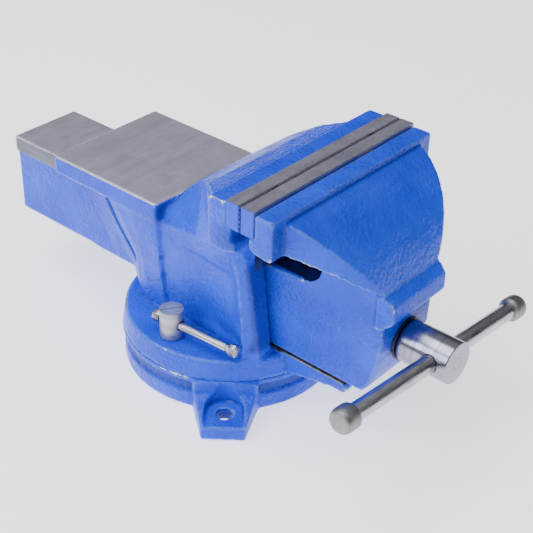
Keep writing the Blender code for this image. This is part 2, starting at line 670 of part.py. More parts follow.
# ---------------------------------------------------------------- jaw plates and their screws
def jaw_plate(label, side):
    """The plate of one jaw with its two sunk screws; side is -1 for the fixed jaw, +1 for the moving."""
    face = JAW_FACE_X + side * GAP / 2
    back = JAW_FACE_X + side * PLATE_THICK
    low_x, high_x = sorted((face, back))
    half = JAW_WIDTH / 2
    blank = box((low_x, -half, PLATE_TOP - PLATE_HEIGHT), (high_x, half, PLATE_TOP))
    plate = part(f"{label}_jaw_plate", blank, GROUND)
    top = face + side * PLATE_SCREW_SUNK
    seat = top + side * PLATE_SCREW_HEAD_HEIGHT
    made = [plate]
    for turn, end in SIDES:
        place = (turn * PLATE_SCREW_PITCH / 2, PLATE_SCREW_Z)
        sink = sorted((face - side * 0.002, seat))
        cut(plate, cylinder(PLATE_SCREW_HEAD + RUN, *sink, "X", place, sides=24), f"sink_{end}")
        through = sorted((face, back + side * 0.002))
        cut(plate, cylinder(PLATE_SCREW_RADIUS + RUN, *through, "X", place, sides=16), f"hole_{end}")
        made.append(plate_screw(f"{label}_plate_screw_{end}", side, top, seat - side * GAP, place))
    return made


def plate_screw(name, side, top, under, place):
    """Cheese-head screw with a hexagon socket: top is its head's face and under its seat."""
    head = cylinder(PLATE_SCREW_HEAD, *sorted((top, under)), "X", place, sides=24)
    screw = part(name, head, DARK)
    tip = JAW_FACE_X + side * PLATE_SCREW_LENGTH
    shank = cylinder(PLATE_SCREW_RADIUS, *sorted((under - side * 0.001, tip)), "X", place, sides=16)
    unite(screw, shank, "shank")
    socket = sorted((top - side * 0.001, top + side * 0.003))
    cut(screw, cylinder(0.003, *socket, "X", place, sides=6), "socket")
    return screw


# ---------------------------------------------------------------- spindle, nut and handle
def tilted(mesh):
    """Turns a mesh about the spindle's axis into the modelled pose."""
    centre = Matrix.Translation((0, 0, SPINDLE_Z))
    return transformed(mesh, centre @ Matrix.Rotation(SPINDLE_TILT, 4, "X") @ centre.inverted())


def spindle_profile():
    bearing = JAW_BOX_FRONT + THRUST_WASHER
    return [(0.0, THREAD_REAR), (THREAD_RADIUS - 0.002, THREAD_REAR), (THREAD_RADIUS, THREAD_REAR + 0.002),
            (THREAD_RADIUS, THREAD_FRONT), (THREAD_RADIUS - 0.001, THREAD_FRONT + 0.001),
            (THREAD_RADIUS - 0.001, THREAD_FRONT + 0.007), (SHANK_RADIUS, THREAD_FRONT + 0.008),
            (SHANK_RADIUS, bearing), (HEAD_RADIUS, bearing), (HEAD_RADIUS, HEAD_FRONT - 0.0012),
            (HEAD_RADIUS - 0.0012, HEAD_FRONT), (0.0, HEAD_FRONT)]


def cross_hole(radius, x):
    """A tool for a hole right across the spindle, turned with it."""
    return tilted(cylinder(radius, -0.030, 0.030, "Y", (x, SPINDLE_Z), sides=20))


def spindle():
    screw = part("spindle", turned(spindle_profile(), FINE, "X", (0, 0, SPINDLE_Z)), TURNED)
    cut(screw, cross_hole(HANDLE_RADIUS + RUN, HANDLE_X), "handle_eye")
    cut(screw, cross_hole(PIN_HOLE_RADIUS, COLLAR_REAR + COLLAR_WIDTH / 2), "pin_hole")
    smooth(screw)
    return screw


def ring(name, outer, start, end, finish):
    """A washer or collar on the spindle's plain shank."""
    made = part(name, cylinder(outer, start, end, "X", (0, SPINDLE_Z)), finish)
    cut(made, cylinder(SHANK_RADIUS + RUN, start - 0.01, end + 0.01, "X", (0, SPINDLE_Z)), "bore")
    smooth(made)
    return made


def return_spring():
    """Open coils between the collar and the thrust wall, which keep the head against the jaw."""
    start = COLLAR_REAR + COLLAR_WIDTH + GAP + SPRING_WIRE
    end = THRUST_WALL - GAP - SPRING_WIRE
    curve = bpy.data.curves.new("return_spring", "CURVE")
    curve.dimensions = "3D"
    curve.bevel_depth = SPRING_WIRE
    curve.bevel_resolution = 2
    curve.use_fill_caps = True
    line = curve.splines.new("POLY")
    count = int(SPRING_TURNS * 18)
    line.points.add(count)
    for i in range(count + 1):
        turn = 2 * math.pi * SPRING_TURNS * i / count
        x = start + (end - start) * i / count
        line.points[i].co = (x, SPRING_RADIUS * math.cos(turn), SPINDLE_Z + SPRING_RADIUS * math.sin(turn), 1)
    made = bpy.data.objects.new("return_spring", curve)
    PARTS.objects.link(made)
    curve.materials.append(make_material("return_spring", DARK))
    return made


def split_pin():
    """The pin through collar and shank, with both ends spread."""
    x = COLLAR_REAR + COLLAR_WIDTH / 2
    reach = COLLAR_RADIUS + 0.0013
    shank = tilted(cylinder(PIN_RADIUS, -reach, reach, "Y", (x, SPINDLE_Z), sides=10))
    pin = part("split_pin", shank, DARK)
    for side, label in SIDES:
        low, high = sorted((side * (COLLAR_RADIUS + GAP), side * (reach + 0.0004)))
        eye = cylinder(PIN_RADIUS + 0.0009, low, high, "Y", (x, SPINDLE_Z), sides=10)
        unite(pin, tilted(eye), f"{label}_end")
    smooth(pin)
    return pin


def spindle_parts():
    washer_front = JAW_BOX_FRONT + THRUST_WASHER - GAP
    washer = ring("thrust_washer", HEAD_RADIUS + 0.0007, JAW_BOX_FRONT + GAP, washer_front, DARK)
    collar = ring("spring_collar", COLLAR_RADIUS, COLLAR_REAR, COLLAR_REAR + COLLAR_WIDTH, TURNED)
    cut(collar, cross_hole(PIN_HOLE_RADIUS, COLLAR_REAR + COLLAR_WIDTH / 2), "pin_hole")
    return [spindle(), washer, collar, return_spring(), split_pin()]


def spindle_nut():
    """The iron nut that stands on the guide's floor inside the slide beam, and the bolt that holds it."""
    nut_box = box((NUT_REAR, -NUT_HALF, BEAM_BOTTOM), (NUT_FRONT, NUT_HALF, NUT_TOP))
    nut = part("spindle_nut", nut_box, IRON)
    thread = cylinder(THREAD_RADIUS + RUN, NUT_REAR - 0.01, NUT_FRONT + 0.01, "X", (0, SPINDLE_Z))
    cut(nut, thread, "thread_bore")
    tapped = cylinder(NUT_BOLT_RADIUS + RUN, 0.040, NUT_BOLT_TOP + 0.0005, centre=(NUT_MIDDLE, 0), sides=24)
    cut(nut, tapped, "bolt_hole")
    washer_top = SOCKET_ROOF - GAP
    head_top = washer_top - WASHER_HEIGHT - GAP
    head_low = head_top - NUT_BOLT_HEAD_HEIGHT
    head = cylinder(NUT_BOLT_HEAD_RADIUS, head_low, head_top, centre=(NUT_MIDDLE, 0), sides=6)
    bolt = part("nut_clamp_bolt", head, DARK)
    shank = cylinder(NUT_BOLT_RADIUS, head_top - 0.001, NUT_BOLT_TOP, centre=(NUT_MIDDLE, 0), sides=24)
    unite(bolt, shank, "shank")
    disc = cylinder(WASHER_RADIUS, washer_top - WASHER_HEIGHT, washer_top, centre=(NUT_MIDDLE, 0))
    washer = part("nut_clamp_washer", disc, DARK)
    cut(washer, cylinder(NUT_BOLT_RADIUS + RUN, 0.030, 0.060, centre=(NUT_MIDDLE, 0), sides=24), "bore")
    return [nut, bolt, washer]


def handle_knob(label, side):
    """A pressed-on end knob with broken edges and a blind socket for the bar."""
    middle = HANDLE_SHIFT + side * HANDLE_REACH
    low, high = middle - HANDLE_KNOB_LENGTH / 2, middle + HANDLE_KNOB_LENGTH / 2
    edge = 0.0013
    outline = [(0.0, low), (HANDLE_KNOB_RADIUS - edge, low), (HANDLE_KNOB_RADIUS, low + edge),
               (HANDLE_KNOB_RADIUS, high - edge), (HANDLE_KNOB_RADIUS - edge, high), (0.0, high)]
    shape = turned(outline, 28, "Y", (HANDLE_X, 0, SPINDLE_Z))
    knob = part(f"handle_knob_{label}", tilted(shape), TURNED)
    bore = sorted((middle - side * 0.02, middle + side * GAP))
    socket = cylinder(HANDLE_RADIUS + GAP, *bore, "Y", (HANDLE_X, SPINDLE_Z), sides=24)
    cut(knob, tilted(socket), "socket")
    smooth(knob)
    return knob


def spindle_handle():
    low, high = HANDLE_SHIFT - HANDLE_REACH, HANDLE_SHIFT + HANDLE_REACH
    bar = cylinder(HANDLE_RADIUS, low, high, "Y", (HANDLE_X, SPINDLE_Z), sides=24)
    handle = part("spindle_handle", tilted(bar), TURNED)
    smooth(handle)
    return [handle] + [handle_knob(label, side) for side, label in SIDES]


# ---------------------------------------------------------------- swivel locks
def t_bolt(label, centre):
    head_top = SLOT_NECK - GAP
    low = (centre[0] - T_HEAD_HALF, centre[1] - T_HEAD_HALF, head_top - T_HEAD_HEIGHT)
    high = (centre[0] + T_HEAD_HALF, centre[1] + T_HEAD_HALF, head_top)
    bolt = part(f"{label}_t_bolt", box(low, high), DARK)
    shank = cylinder(T_BOLT_RADIUS, head_top - 0.001, DISC_TOP + T_BOLT_REACH, centre=centre, sides=24)
    unite(bolt, shank, "shank")
    return bolt


def lock_nut(label, centre, turn):
    foot = DISC_TOP + GAP
    barrel = cylinder(LOCK_NUT_RADIUS, foot, foot + LOCK_NUT_HEIGHT, centre=centre, sides=28)
    nut = part(f"{label}_lock_nut", barrel, TURNED)
    bore_top = DISC_TOP + T_BOLT_REACH + 0.0005
    thread = cylinder(T_BOLT_RADIUS + RUN, foot - 0.01, bore_top, centre=centre, sides=24)
    cut(nut, thread, "thread_bore")
    eye = cylinder(LOCK_BAR_RADIUS + RUN, -0.03, 0.03, "X", (0, foot + LOCK_BAR_HEIGHT), sides=20)
    cut(nut, transformed(eye, turn), "bar_eye")
    smooth(nut)
    return nut


def lock_bar(label, turn):
    """The sliding cross bar of a lock nut, drilled through, and its two end knobs."""
    height = DISC_TOP + GAP + LOCK_BAR_HEIGHT
    rear = -LOCK_NUT_RADIUS - GAP - LOCK_KNOB_LENGTH / 2
    front = rear + LOCK_BAR_LENGTH
    rod = cylinder(LOCK_BAR_RADIUS, rear, front, "X", (0, height), sides=20)
    made = [part(f"{label}_lock_bar", transformed(rod, turn), TURNED)]
    for middle, end, inward in ((rear, "rear", 1), (front, "front", -1)):
        half = LOCK_KNOB_LENGTH / 2
        shape = cylinder(LOCK_KNOB_RADIUS, middle - half, middle + half, "X", (0, height), 12)
        knob = part(f"{label}_lock_knob_{end}", transformed(shape, turn), TURNED)
        bore = sorted((middle - inward * GAP, middle + inward * 0.010))
        cut(knob, transformed(cylinder(LOCK_BAR_RADIUS + GAP, *bore, "X", (0, height), 20), turn), "socket")
        made.append(knob)
    smooth(made[0])
    return made


# ---------------------------------------------------------------- what moves together
def hang(pieces, name, place, parent=None):
    """Parents pieces to an empty on their joint's axis, without moving them."""
    axis = add_object(name, None, PARTS)
    axis.empty_display_size = 0.03
    axis.parent = parent
    axis.location = Vector(place) - (world_place(parent) if parent else Vector())
    for piece in pieces:
        piece.parent = axis
        piece.matrix_parent_inverse = Matrix.Translation(place).inverted()
    return axis


def world_place(axis):
    return axis.location + (world_place(axis.parent) if axis.parent else Vector())


# ---------------------------------------------------------------- build
clear_scene()
PARTS = new_collection("bench_vise")
CUTTERS = new_collection("cutters")
swivel_base()
body_pieces = [fixed_body(), *jaw_plate("fixed", -1), *spindle_nut()]
jaw_pieces = [moving_jaw(), *jaw_plate("moving", 1)]
swivel_axis = hang(body_pieces, "swivel_axis", (0, 0, 0))
jaw_axis = hang(jaw_pieces, "jaw_slide_axis", (JAW_FACE_X, 0, SPINDLE_Z), swivel_axis)
spindle_axis = hang(spindle_parts(), "spindle_axis", (JAW_BOX_FRONT, 0, SPINDLE_Z), jaw_axis)
hang(spindle_handle(), "handle_axis", (HANDLE_X, 0, SPINDLE_Z), spindle_axis)
for lock_side, lock_label in SIDES:
    bolt_centre = (LOCK_X, lock_side * SLOT_RADIUS)
    lean = Matrix.Translation((*bolt_centre, 0)) @ Matrix.Rotation(-lock_side * LOCK_BAR_TURN, 4, "Z")
    bolt_height = DISC_TOP + GAP + LOCK_BAR_HEIGHT
    hang([t_bolt(lock_label, bolt_centre)], f"{lock_label}_bolt_axis", (*bolt_centre, 0), swivel_axis)
    nut = lock_nut(lock_label, bolt_centre, lean)
    nut_axis = hang([nut], f"{lock_label}_lock_axis", (*bolt_centre, 0), swivel_axis)
    hang(lock_bar(lock_label, lean), f"{lock_label}_bar_axis", (*bolt_centre, bolt_height), nut_axis)
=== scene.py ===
# %% [markdown]
# # A bench vise with a swivel base
# The vise is three painted iron castings, ground and turned steel pieces, and the screw that closes
# it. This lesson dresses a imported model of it: the shapes get their cast, ground and turned surfaces,
# and each material is built from nodes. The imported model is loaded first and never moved, so every
# piece made below takes its place from it.
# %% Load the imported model
import math

import bmesh
import bpy
import numpy as np
from mathutils import Matrix, Vector, noise


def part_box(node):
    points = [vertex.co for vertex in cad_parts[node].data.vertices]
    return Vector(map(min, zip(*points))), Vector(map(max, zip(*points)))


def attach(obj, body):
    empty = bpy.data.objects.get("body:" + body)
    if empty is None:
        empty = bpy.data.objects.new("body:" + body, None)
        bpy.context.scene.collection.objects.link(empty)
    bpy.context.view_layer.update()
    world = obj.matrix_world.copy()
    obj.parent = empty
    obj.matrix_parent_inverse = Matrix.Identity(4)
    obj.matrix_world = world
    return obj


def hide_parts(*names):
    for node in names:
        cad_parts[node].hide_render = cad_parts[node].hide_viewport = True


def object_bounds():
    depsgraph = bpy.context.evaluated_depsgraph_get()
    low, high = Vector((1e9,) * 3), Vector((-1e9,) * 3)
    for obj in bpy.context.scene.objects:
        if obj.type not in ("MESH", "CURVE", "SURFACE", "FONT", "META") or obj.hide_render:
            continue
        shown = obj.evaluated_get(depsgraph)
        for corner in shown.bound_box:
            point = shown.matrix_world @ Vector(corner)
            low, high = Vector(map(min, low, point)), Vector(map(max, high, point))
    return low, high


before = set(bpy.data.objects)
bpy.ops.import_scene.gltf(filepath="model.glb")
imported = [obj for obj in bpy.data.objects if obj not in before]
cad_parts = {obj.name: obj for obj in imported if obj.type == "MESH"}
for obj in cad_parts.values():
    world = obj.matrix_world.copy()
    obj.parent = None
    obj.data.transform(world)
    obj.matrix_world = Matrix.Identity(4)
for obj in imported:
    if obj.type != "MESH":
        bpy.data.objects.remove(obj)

CAD_BOX = [list(corner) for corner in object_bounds()]
print("model's box in mm:", [[round(value * 1000, 1) for value in corner] for corner in CAD_BOX])


# %% [markdown]
# ## Colours, nodes and scales
# Paint and steel colours are written as sRGB hex values and turned to linear ones, because that is
# what a shader takes. A texture's scale is in cycles per metre, so it is worked out from a real size
# in millimetres.
# %% Helpers for materials
def linear(hex_colour):
    """sRGB hex to a linear RGBA colour."""
    out = []
    for start in (0, 2, 4):
        value = int(hex_colour[start:start + 2], 16) / 255
        out.append(value / 12.92 if value <= 0.04045 else ((value + 0.055) / 1.055) ** 2.4)
    return (*out, 1.0)


def per_mm(size):
    """Texture scale for a detail of this many millimetres."""
    return 1000.0 / size


def add(tree, kind, inputs=None, **settings):
    """Adds a node. settings are its properties; an input is a value, or a socket to link from."""
    node = tree.nodes.new(kind)
    for name, value in settings.items():
        setattr(node, name, value)
    for key, value in (inputs or {}).items():
        if isinstance(value, bpy.types.NodeSocket):
            tree.links.new(value, node.inputs[key])
        else:
            node.inputs[key].default_value = value
    return node


def new_material(name):
    """A material with an empty Principled shader: returns it, its tree, shader and coordinates."""
    made = bpy.data.materials.new(name)
    made.use_nodes = True
    tree = made.node_tree
    return made, tree, tree.nodes["Principled BSDF"], add(tree, "ShaderNodeTexCoord").outputs["Object"]


def noise_at(tree, place, size, detail=2.0, rough=0.5, stretch=None):
    """Noise with details of size mm, drawn out along an axis where stretch is below 1."""
    if stretch is not None:
        place = add(tree, "ShaderNodeMapping", {"Vector": place, "Scale": stretch}).outputs[0]
    return add(tree, "ShaderNodeTexNoise", {"Vector": place, "Scale": per_mm(size), "Detail": detail,
                                            "Roughness": rough}).outputs["Fac"]


def between(tree, value, low, high, to_low=0.0, to_high=1.0):
    """Maps a value smoothly from one range to another, clamped."""
    return add(tree, "ShaderNodeMapRange", {"Value": value, 1: low, 2: high, 3: to_low, 4: to_high},
               interpolation_type="SMOOTHSTEP").outputs[0]


def carried(tree, name):
    """A value that the mesh carries on its points."""
    return add(tree, "ShaderNodeAttribute", attribute_name=name).outputs["Fac"]


def mix_colour(tree, share, first, second):
    return add(tree, "ShaderNodeMix", {0: share, 6: first, 7: second}, data_type="RGBA").outputs[2]


def math_of(tree, operation, first, second):
    return add(tree, "ShaderNodeMath", {0: first, 1: second}, operation=operation).outputs[0]


def vector_of(tree, operation, *vectors):
    return add(tree, "ShaderNodeVectorMath", dict(enumerate(vectors)), operation=operation)


def bump(tree, height, depth_mm, below=None):
    """A bump of this depth, laid over another bump where one is given."""
    inputs = {"Height": height, "Distance": depth_mm / 1000, "Strength": 1.0}
    if below is not None:
        inputs["Normal"] = below
    return add(tree, "ShaderNodeBump", inputs).outputs[0]


# %% [markdown]
# ## Enamel on cast iron
# The castings are dipped or sprayed with a thick blue gloss enamel straight over the sand-cast
# skin, so the eye sees a lumpy, orange-peel surface with soft highlights. Hollows and recesses get
# painted shade, a darker blue, and the paint chips to bright iron on sharp edges. Each casting
# carries three values on its points: how sharp an edge is, how hollow it is, and its painted shade.
# %% Enamel
def cast_enamel():
    made, tree, shader, place = new_material("blue_enamel_on_cast_iron")
    cloud = noise_at(tree, place, 38, 3)
    drift = noise_at(tree, place, 9, 2)
    blue = mix_colour(tree, between(tree, cloud, 0.3, 0.7), linear("1240D6"), linear("1F50EC"))
    # Painted shade: the hollows are mixed towards a dark blue.
    hollow = carried(tree, "hollow")
    blue = mix_colour(tree, between(tree, hollow, 0.2, 1.0, 0, 0.55), blue, linear("061E80"))
    # Painted shade in recesses, grooves and under overhangs: it darkens the blue and keeps edge chips away.
    painted_shade = carried(tree, "painted_shade")
    bare = math_of(tree, "SUBTRACT", 1.0, math_of(tree, "MULTIPLY", painted_shade, 1.4))
    edge = carried(tree, "edge")
    edge = math_of(tree, "MULTIPLY", edge, between(tree, bare, 0.0, 1.0))
    ragged = noise_at(tree, place, 4.5, 4, 0.7)
    rare = between(tree, noise_at(tree, place, 26, 1), 0.47, 0.62)
    chips = math_of(tree, "MULTIPLY", math_of(tree, "MULTIPLY", edge, rare), ragged)
    chipped = between(tree, chips, 0.34, 0.41)
    # The painted shade is mixed in as a dark navy.
    blue = mix_colour(tree, painted_shade, blue, linear("071A6A"))
    blue = mix_colour(tree, between(tree, edge, 0.30, 0.85, 0, 0.55), blue, linear("5C82E6"))
    iron = mix_colour(tree, ragged, linear("8E96A8"), linear("D5DAE2"))
    pits = between(tree, noise_at(tree, place, 2.6, 1), 0.74, 0.80)
    dark = mix_colour(tree, math_of(tree, "MULTIPLY", pits, 0.45), blue, linear("061C60"))
    tree.links.new(mix_colour(tree, chipped, dark, iron), shader.inputs["Base Color"])
    tree.links.new(between(tree, drift, 0.3, 0.7, 0.26, 0.38), shader.inputs["Roughness"])
    tree.links.new(math_of(tree, "MULTIPLY", chipped, 0.8), shader.inputs["Metallic"])
    shader.inputs["IOR"].default_value = 1.45
    shader.inputs["Specular IOR Level"].default_value = 0.30
    # Orange peel is about 2 mm across; how deep it lies changes over some 25 mm of casting.
    depth = between(tree, noise_at(tree, place, 25, 2), 0.35, 0.65, 0.45, 1.0)
    peel = math_of(tree, "MULTIPLY", noise_at(tree, place, 2.6, 2, 0.55), depth)
    lumps = bump(tree, noise_at(tree, place, 7.5, 2), 0.25)
    skin = bump(tree, peel, 1.1, lumps)
    skin = bump(tree, noise_at(tree, place, 0.9, 2), 0.07, skin)
    sunk = bump(tree, math_of(tree, "SUBTRACT", 1.0, chipped), 0.10, skin)
    tree.links.new(sunk, shader.inputs["Normal"])
    return made


# %% [markdown]
# ## Ground steel and iron
# The anvil, the rear step and the jaw plates are surface-ground: a wheel leaves fine straight lines
# and the metal looks grey and satin, with a few dark pores and faint stains. The lines are noise
# drawn out along the grinding direction. Real ones are some 0.1 mm apart, too fine to show, so they
# are drawn 0.7 mm apart.
# %% Ground metal
def ground_metal(name, along, dark="B4B0BC", light="C3BFCB"):
    """along stretches the noise: a small number on the axis that the wheel ran along."""
    made, tree, shader, place = new_material(name)
    lines = noise_at(tree, place, 0.7, 3, 0.6, along)
    bands = noise_at(tree, place, 5.0, 2, 0.5, along)
    stain = noise_at(tree, place, 22, 4, 0.6)
    fine, coarse = math_of(tree, "MULTIPLY", lines, 0.6), math_of(tree, "MULTIPLY", bands, 0.4)
    tone = math_of(tree, "ADD", fine, coarse)
    grey = mix_colour(tree, between(tree, tone, 0.35, 0.65), linear(dark), linear(light))
    grey = mix_colour(tree, between(tree, stain, 0.52, 0.75, 0, 0.35), grey, linear("75716E"))
    pores = between(tree, noise_at(tree, place, 1.7, 1), 0.76, 0.80)
    grey = mix_colour(tree, pores, grey, linear("3A3A40"))
    edge = carried(tree, "edge")
    bright = between(tree, math_of(tree, "MULTIPLY", edge, noise_at(tree, place, 6, 3)), 0.22, 0.42)
    tree.links.new(mix_colour(tree, bright, grey, linear("D2D3DA")), shader.inputs["Base Color"])
    shader.inputs["Metallic"].default_value = 0.7
    tree.links.new(between(tree, stain, 0.3, 0.7, 0.42, 0.55), shader.inputs["Roughness"])
    tree.links.new(bump(tree, lines, 0.02), shader.inputs["Normal"])
    return made


# %% [markdown]
# ## Turned and dark steel
# The spindle's head, the handle and the locks come off a lathe and are left bright. The tool leaves
# rings, so the pattern is one-dimensional noise along the axis of the piece, which a dot product
# with that axis gives. Springs, washers and screws are darker, oiled steel.
# %% Turned steel, dark steel and bare iron
def turned_steel(name, axis, centre, dark, light, rough=0.20, metallic=1.0):
    """Fine rings round an axis through centre, on the sides and on the end faces."""
    made, tree, shader, place = new_material(name)
    offset = vector_of(tree, "SUBTRACT", place, tuple(centre)).outputs["Vector"]
    along = vector_of(tree, "DOT_PRODUCT", offset, axis).outputs["Value"]
    spoke = vector_of(tree, "CROSS_PRODUCT", offset, axis).outputs["Vector"]
    radius = vector_of(tree, "LENGTH", spoke).outputs["Value"]
    track = math_of(tree, "ADD", along, radius)
    rings = [add(tree, "ShaderNodeTexNoise", {"W": track, "Scale": per_mm(width), "Detail": 2.0},
                 noise_dimensions="1D").outputs["Fac"] for width in (0.5, 4.0)]
    smear = noise_at(tree, place, 14, 3)
    fine, coarse = math_of(tree, "MULTIPLY", rings[0], 0.6), math_of(tree, "MULTIPLY", rings[1], 0.4)
    tone = math_of(tree, "ADD", fine, coarse)
    steel = mix_colour(tree, between(tree, tone, 0.3, 0.7), linear(dark), linear(light))
    steel = mix_colour(tree, between(tree, smear, 0.55, 0.8, 0, 0.4), steel, linear("77726C"))
    tree.links.new(steel, shader.inputs["Base Color"])
    shader.inputs["Metallic"].default_value = metallic
    tree.links.new(between(tree, smear, 0.3, 0.7, rough, rough + 0.10), shader.inputs["Roughness"])
    tree.links.new(bump(tree, rings[0], 0.006), shader.inputs["Normal"])
    return made


def drawn_steel(name, stretch, dark="A09FA6", light="C9C8CE"):
    """Bright bar that was drawn through a die: faint lines along its length."""
    made, tree, shader, place = new_material(name)
    lines = noise_at(tree, place, 1.1, 3, 0.6, stretch)
    smear = noise_at(tree, place, 17, 3)
    steel = mix_colour(tree, between(tree, lines, 0.3, 0.7), linear(dark), linear(light))
    steel = mix_colour(tree, between(tree, smear, 0.5, 0.8, 0, 0.35), steel, linear("6F6862"))
    tree.links.new(steel, shader.inputs["Base Color"])
    shader.inputs["Metallic"].default_value = 1.0
    tree.links.new(between(tree, smear, 0.3, 0.7, 0.24, 0.34), shader.inputs["Roughness"])
    tree.links.new(bump(tree, lines, 0.006), shader.inputs["Normal"])
    return made


def plain_metal(name, dark, light, roughness, grain_mm, metallic=0.9):
    """Oiled steel, unpainted iron, or the dark painted shade inside the cores: mottled colour and a fine
    grain.
    """
    made, tree, shader, place = new_material(name)
    mottle = noise_at(tree, place, 6, 3)
    tree.links.new(mix_colour(tree, between(tree, mottle, 0.35, 0.65), linear(dark), linear(light)),
                   shader.inputs["Base Color"])
    shader.inputs["Metallic"].default_value = metallic
    sheen = between(tree, mottle, 0.3, 0.7, roughness - 0.06, roughness + 0.08)
    tree.links.new(sheen, shader.inputs["Roughness"])
    tree.links.new(bump(tree, noise_at(tree, place, grain_mm, 2), 0.03), shader.inputs["Normal"])
    return made


ENAMEL = cast_enamel()
ANVIL_GROUND = ground_metal("surface_ground_iron", (1, 0.03, 1))
BAND_GROUND = ground_metal("milled_iron_side", (0.03, 1, 1), "696B75", "7D7F8A")
JAW_GROUND = ground_metal("surface_ground_jaw_steel", (1, 0.2, 1), "8B8994", "AAA7B3")
OILED = plain_metal("oiled_dark_steel", "3C3C42", "5E5E66", 0.40, 0.8)
BARE_IRON = plain_metal("bare_cast_iron", "55555A", "77777C", 0.55, 1.2)
OILY_SLIDE = plain_metal("oiled_iron_slide", "7A6A48", "A08C5C", 0.35, 0.9)
# Painted shade: a dark navy put inside the castings' cores, where little light reaches.
PAINTED_CORE_SHADE = plain_metal("painted_shade_in_cores", "0C1844", "15296A", 0.55, 1.4, metallic=0.0)
print("materials:", [each.name for each in (ENAMEL, ANVIL_GROUND, JAW_GROUND, OILED, BARE_IRON)])


# %% [markdown]
# ## Meshes into pieces
# Every finished piece is an object at the origin with its place in its mesh. A shape that still has
# modifiers is evaluated once and kept as a plain mesh.
# %% Helpers for pieces
def object_of(name, mesh):
    made = bpy.data.objects.new(name, mesh)
    bpy.context.scene.collection.objects.link(made)
    return made


def settle(made):
    """Applies an object's modifiers and gives back the plain mesh, with the object removed."""
    bpy.context.view_layer.update()
    mesh = bpy.data.meshes.new_from_object(made.evaluated_get(bpy.context.evaluated_depsgraph_get()))
    bpy.data.objects.remove(made, do_unlink=True)
    return mesh


def from_bmesh(bm, name):
    mesh = bpy.data.meshes.new(name)
    bm.to_mesh(mesh)
    bm.free()
    return mesh


def cut_out(mesh, *tools):
    """Cuts the tools' meshes out of a mesh."""
    target = object_of("target", mesh)
    blades = [object_of("blade", tool) for tool in tools]
    for blade in blades:
        blade.hide_render = True
        cut = target.modifiers.new("cut", "BOOLEAN")
        cut.operation = "DIFFERENCE"
        cut.solver = "EXACT"
        cut.object = blade
    out = settle(target)
    for blade in blades:
        bpy.data.objects.remove(blade, do_unlink=True)
    return out


def piece(name, mesh, material, body, slot, *nodes):
    """Puts a finished mesh on its body, in the place of the model's nodes that it stands for."""
    made = object_of(name, mesh)
    mesh.name = name
    if material is not None:
        mesh.materials.clear()
        mesh.materials.append(material)
    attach(made, body)
    if nodes:
        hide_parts(*nodes)
    return made


def merged_copy(node):
    """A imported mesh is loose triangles, so a copy of it is merged before it is worked on."""
    bm = bmesh.new()
    bm.from_mesh(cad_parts[node].data)
    bmesh.ops.remove_doubles(bm, verts=bm.verts, dist=0.000005)
    return from_bmesh(bm, node)


# %% [markdown]
# ## From a sharp solid to a casting
# A sand casting has no sharp corner: outer edges are rounded and inner ones are filled. A voxel
# remesh turns the sharp model into an even skin, and a few rounds of smoothing that don't shrink it
# (a push in, then a slightly larger push out) round every edge at once, which bevels on a mesh of
# many joined solids would not do cleanly. Where the casting was machined flat, the smoothing is
# weak. A slight waviness of the pattern is added along the normals.
# %% Casting helpers
def remeshed(mesh, voxel):
    blank = object_of("blank", mesh)
    skin = blank.modifiers.new("skin", "REMESH")
    skin.mode = "VOXEL"
    skin.voxel_size = voxel
    return settle(blank)


def points_of(mesh):
    flat = np.empty(len(mesh.vertices) * 3, np.float32)
    mesh.vertices.foreach_get("co", flat)
    return flat.reshape(-1, 3).astype(np.float64)


def neighbours(mesh):
    ends = np.empty(len(mesh.edges) * 2, np.int32)
    mesh.edges.foreach_get("vertices", ends)
    first, second = ends.reshape(-1, 2).T
    count = len(mesh.vertices)
    degree = np.bincount(first, minlength=count) + np.bincount(second, minlength=count)
    return first, second, np.maximum(degree, 1)


def mean_around(values, web):
    """Mean of the neighbours' values at each point."""
    first, second, degree = web
    count = len(degree)
    columns = [np.bincount(first, column[second], count) + np.bincount(second, column[first], count)
               for column in values.T]
    return np.stack(columns, axis=1) / degree[:, None]


def smoothed(points, web, rounds, weight):
    """Rounds of a push towards the neighbours and a slightly larger push back."""
    for _ in range(rounds):
        for push in (0.50, -0.52):
            points = points + push * weight[:, None] * (mean_around(points, web) - points)
    return points


def store(mesh, name, values):
    layer = mesh.attributes.new(name, "FLOAT", "POINT")
    layer.data.foreach_set("value", values.astype(np.float32))


def write_points(mesh, points):
    mesh.vertices.foreach_set("co", points.astype(np.float32).ravel())
    mesh.update()


SHARPEST = 0.16         # bend at a point, as a share of the mesh's step, that counts as a full edge
DEEPEST = 0.12          # and the same for a full hollow


def edge_values(mesh, web):
    """Stores how sharp (edge) and how hollow (hollow) the surface is at each point, 0 to 1."""
    points = points_of(mesh)
    normals = normals_of(mesh)
    step = np.linalg.norm(points[web[0]] - points[web[1]], axis=1).mean()
    bend = -np.einsum("ij,ij->i", mean_around(points, web) - points, normals) / step
    bend = (bend + mean_around(bend[:, None], web)[:, 0]) / 2
    store(mesh, "edge", np.clip(bend / SHARPEST, 0, 1))
    store(mesh, "hollow", np.clip(-bend / DEEPEST, 0, 1))


def weighted(points, base, regions):
    """The smoothing's weight at each point: base, and its own inside each (low, high, weight) box."""
    weight = np.full(len(points), base)
    for low, high, own in regions:
        weight[inside(points, low, high)] = own
    return weight


def waved(mesh, weight, depth_mm=0.14, size_mm=11):
    """Moves points along their normals by a slow noise, as a wooden pattern and sand leave it."""
    points = points_of(mesh)
    for vertex, point, share in zip(mesh.vertices, points, weight):
        swell = noise.noise(Vector(point) * per_mm(size_mm)) * share
        point += np.array(vertex.normal) * swell * depth_mm / 1000
    write_points(mesh, np.clip(points, *CAD_BOX))


def normals_of(mesh):
    normals = np.empty(len(mesh.vertices) * 3, np.float32)
    mesh.vertices.foreach_get("normal", normals)
    return normals.reshape(-1, 3)


